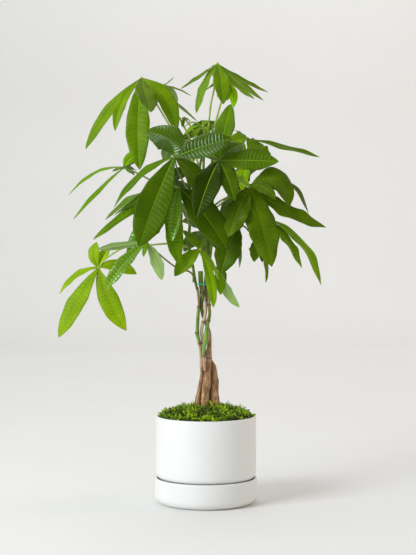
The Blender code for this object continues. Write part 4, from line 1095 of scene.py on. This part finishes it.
def stem_material():
    """Bark, then pale or green skin further up, with brown rings at the nodes and painted shade, near black,
    where stems touch.
    """
    n = Nodes("stem_skin")
    green, pale, node = n.parts("skin")
    shade_where_stems_touch = n.parts("crevice")[0]
    streak = n.noise(190.0, 4.0, n.place((1, 1, 0.3)), roughness=0.6)
    patch = n.noise(90.0)
    fine = n.noise(700.0)
    bark = n.mix(n.span(streak, 0.32, 0.68), (0.20, 0.090, 0.030), (0.54, 0.305, 0.132))
    bark = n.mix(n.span(patch, 0.56, 0.74, 0.0, 0.65), bark, (0.72, 0.49, 0.28))
    bark = n.mix(n.span(fine, 0.55, 0.70, 0.0, 0.6), bark, (0.070, 0.032, 0.012))
    skin = n.mix(n.span(streak, 0.35, 0.65), (0.065, 0.155, 0.005), (0.22, 0.36, 0.015))
    skin = n.mix(n.span(patch, 0.55, 0.75, 0.0, 0.5), skin, (0.25, 0.19, 0.07))
    surface = n.mix(green, bark, skin)
    surface = n.mix(n.times(pale, 0.85), surface, n.mix(green, (0.80, 0.63, 0.44), (0.22, 0.46, 0.11)))
    surface = n.mix(n.times(node, 0.85), surface, (0.16, 0.05, 0.025))
    # Painted shade: the colour goes near black where this stem touches another.
    n.set(Base_Color=n.mix(n.times(shade_where_stems_touch, 0.95), surface, (0.012, 0.007, 0.002)))
    n.set(Roughness=n.span(green, 0.0, 1.0, 0.40, 0.36, smooth=False))
    n.bump(n.plus(n.times(streak, 0.7), n.times(fine, 0.5)), 0.0008, 0.8)
    return n.material


def stops(rows, heights):
    """Values at heights, from rows of (height, value), with short soft changes between them."""
    found = np.full(len(heights), rows[0][1], float)
    for (_, before), (at, after) in zip(rows, rows[1:]):
        found += (after - before) * np.clip((heights - at) / SKIN_CHANGE + 0.5, 0, 1)
    return found


def crevice(points, name):
    """How close each point lies to the next stem, as the strength of the painted contact shade: 1 where they all
    but touch, 0 from the shade's reach on.
    """
    room = np.full(len(points), CONTACT_SHADE_REACH)
    for other in STEMS:
        if other == name:
            continue
        route = smooth(STEMS[other], STEM_SAMPLES)
        x, y, radius = (np.interp(points[:, 2], route[:, 2], route[:, k], 9.0, 9.0) for k in (0, 1, 3))
        room = np.minimum(room, np.hypot(points[:, 0] - x, points[:, 1] - y) - radius)
    return 1 - np.clip(room / CONTACT_SHADE_REACH, 0, 1)


def node_marks(name, heights):
    """How strongly a node shows at each height: fully at the stem's nodes, less where a stalk leaves it."""
    marks = [(z, 1.0) for z in STEM_NODES[name]]
    marks += [(p["leaves_at"], STALK_MARK) for p in LEAVES.values() if p["stem"] == name]
    node = np.zeros(len(heights))
    for z, strength in marks:
        node = np.maximum(node, strength * np.exp(-(((heights - z) / NODE_HALF_HEIGHT) ** 2)))
    return node


def make_stem(name, material, rng):
    """One stem, with knobs that are strongest where it leaves the moss, swollen nodes and buds."""
    line = smooth(STEMS[name], STEM_STEPS)
    centres, radii, heights = line[:, :3], line[:, 3], line[:, 2]
    node = node_marks(name, heights)
    green = stops(STEM_GREEN[name], heights)
    pale = stops(STEM_PALE[name], heights)
    surface = centres[:, None] + spokes(centres, STEM_SIDES) * radii[:, None, None]
    knobs = ripple(surface * (1, 1, 0.45), KNOB_SIZES[0], rng) * KNOB_HEIGHTS[0]
    knobs = knobs + ripple(surface, KNOB_SIZES[1], rng) * KNOB_HEIGHTS[1]
    rough = (1 - 0.7 * green) * (1 + 0.9 * np.exp(-(((heights - ROUGHEST_HEIGHT) / ROUGHEST_REACH) ** 2)))
    lift = radii[:, None] * knobs * rough[:, None]
    lift = lift + (node * NODE_SWELL)[:, None] * (1 + 0.4 * ripple(surface, 0.004, rng))
    # Painted contact shade for each point of the skin, from how close it lies to the other stems.
    dark = np.append(crevice(surface.reshape(-1, 3), name), [0, 0])
    skin = np.stack([green, pale, node], -1)
    skin = np.vstack([np.repeat(skin, STEM_SIDES, axis=0), skin[:1], skin[-1:]])
    if name == CUT_STEM:
        skin[-1] = (0.0, 1.0, 0.0)
    shell = Shell("skin", "crevice")
    add_tube(shell, centres, radii, STEM_SIDES, 0, lift, skin=skin, crevice=dark[:, None])
    for z, way in STEM_BUDS.get(name, ()):
        *middle, radius = stem_at(name, z)
        angle = math.radians(way)
        at = np.array(middle) + np.array([math.cos(angle), math.sin(angle), 0]) * radius
        add_ball(shell, at, BUD_RADIUS, 0, 1.5, skin=(0, 0, 1), crevice=(0, 0, 0))
    keep(shell.piece(name + "_skin", [material]), name)


def make_stems():
    material = stem_material()
    for number, name in enumerate(STEMS):
        make_stem(name, material, np.random.default_rng(40 + number))


def tie_material():
    n = Nodes("tie_vinyl")
    grain = n.noise(700.0)
    n.set(Base_Color=n.mix(n.span(grain, 0.3, 0.7), (0.002, 0.46, 0.30), (0.004, 0.60, 0.42)))
    n.set(Roughness=n.span(grain, 0.3, 0.7, 0.32, 0.45))
    n.bump(grain, 0.0001, 0.4)
    return n.material


def make_tie():
    """A closed loop of wire, drawn tight round the outline of the tied stems."""
    circles = []
    for name in TIED_STEMS:
        x, y, _, radius = stem_at(name, TIE_HEIGHT)
        circles.append((x, y, radius + SEAT_GAP + TIE_WIRE_RADIUS))
    route = []
    for angle in circle(TIE_STEPS):
        out = np.array([math.cos(angle), math.sin(angle)])
        x, y, radius = max(circles, key=lambda c: c[0] * out[0] + c[1] * out[1] + c[2])
        route.append((x + out[0] * radius, y + out[1] * radius, TIE_HEIGHT))
    route = np.array(route)
    angles = circle(TIE_SIDES)[:, None]
    tangent = unit(np.roll(route, -1, 0) - np.roll(route, 1, 0))
    normal = unit(np.cross(tangent, (0.0, 0.0, 1.0)))
    around = normal[:, None] * np.cos(angles) + np.array([0, 0, TIE_TALL]) * np.sin(angles)
    points = route[:, None] + TIE_WIRE_RADIUS * around
    rows = ring_faces(TIE_STEPS + 1, TIE_SIDES)[:, ::-1] % (TIE_STEPS * TIE_SIDES)
    shell = Shell()
    shell.add(points.reshape(-1, 3), [(rows, 0)])
    keep(shell.piece("tie_wire", [tie_material()]), "tie")


# Stage


def make_stage():
    """A plain pale floor that curves up into a backdrop."""
    n = Nodes("pale_stage")
    cloud = n.span(n.noise(1.5, 2.0), 0.3, 0.7)
    n.set(Base_Color=n.mix(cloud, STAGE_COLOUR, scaled(STAGE_COLOUR, 1.02)), Roughness=0.8)
    curve = arc((STAGE_BACK, STAGE_CURVE), STAGE_CURVE, -90, 0, 24)
    profile = [(-STAGE_FRONT, 0.0), *curve, (STAGE_BACK + STAGE_CURVE, STAGE_TOP)]
    half = STAGE_WIDTH / 2
    points = np.array([(x, y, z) for y, z in profile for x in (-half, half)])
    i = np.arange(len(profile) - 1) * 2
    shell = Shell()
    shell.add(points, [(np.stack([i, i + 1, i + 3, i + 2], -1), 0)])
    shell.piece("floor", [n.material])


def add_area(name, place, aim, size, power, colour):
    light = bpy.data.lights.new(name, "AREA")
    light.shape = "RECTANGLE"
    light.size, light.size_y = size
    light.energy = power
    light.color = colour
    made = bpy.data.objects.new(name, light)
    made.location = place
    made.rotation_euler = (Vector(aim) - Vector(place)).to_track_quat("-Z", "Y").to_euler()
    bpy.context.scene.collection.objects.link(made)


def make_light_and_camera():
    scene = bpy.context.scene
    scene.world = bpy.data.worlds.new("studio")
    scene.world.use_nodes = True
    scene.world.cycles_visibility.glossy = False
    background = scene.world.node_tree.nodes["Background"]
    background.inputs["Color"].default_value = (*WORLD_COLOUR, 1.0)
    background.inputs["Strength"].default_value = WORLD_STRENGTH
    for name, light in LIGHTS.items():
        add_area(name, *light)
    scene.view_settings.view_transform = "Standard"
    camera = bpy.data.cameras.new("camera")
    camera.sensor_width = CAMERA_SENSOR
    camera.lens = CAMERA_LENS
    camera.clip_end = CAMERA_CLIP_END
    made = bpy.data.objects.new("camera", camera)
    made.location = (CAMERA_SIDE, -CAMERA_DISTANCE, CAMERA_HEIGHT)
    made.rotation_euler = (math.radians(90 - CAMERA_TILT), 0, 0)
    scene.collection.objects.link(made)
    scene.camera = made


glaze = glaze_material()
make_saucer(glaze)
make_pot_and_soil(glaze)
make_moss()
make_stems()
make_tie()
for number, (name, plan) in enumerate(LEAVES.items()):
    make_leaf(number, name, plan)
make_stage()
make_light_and_camera()
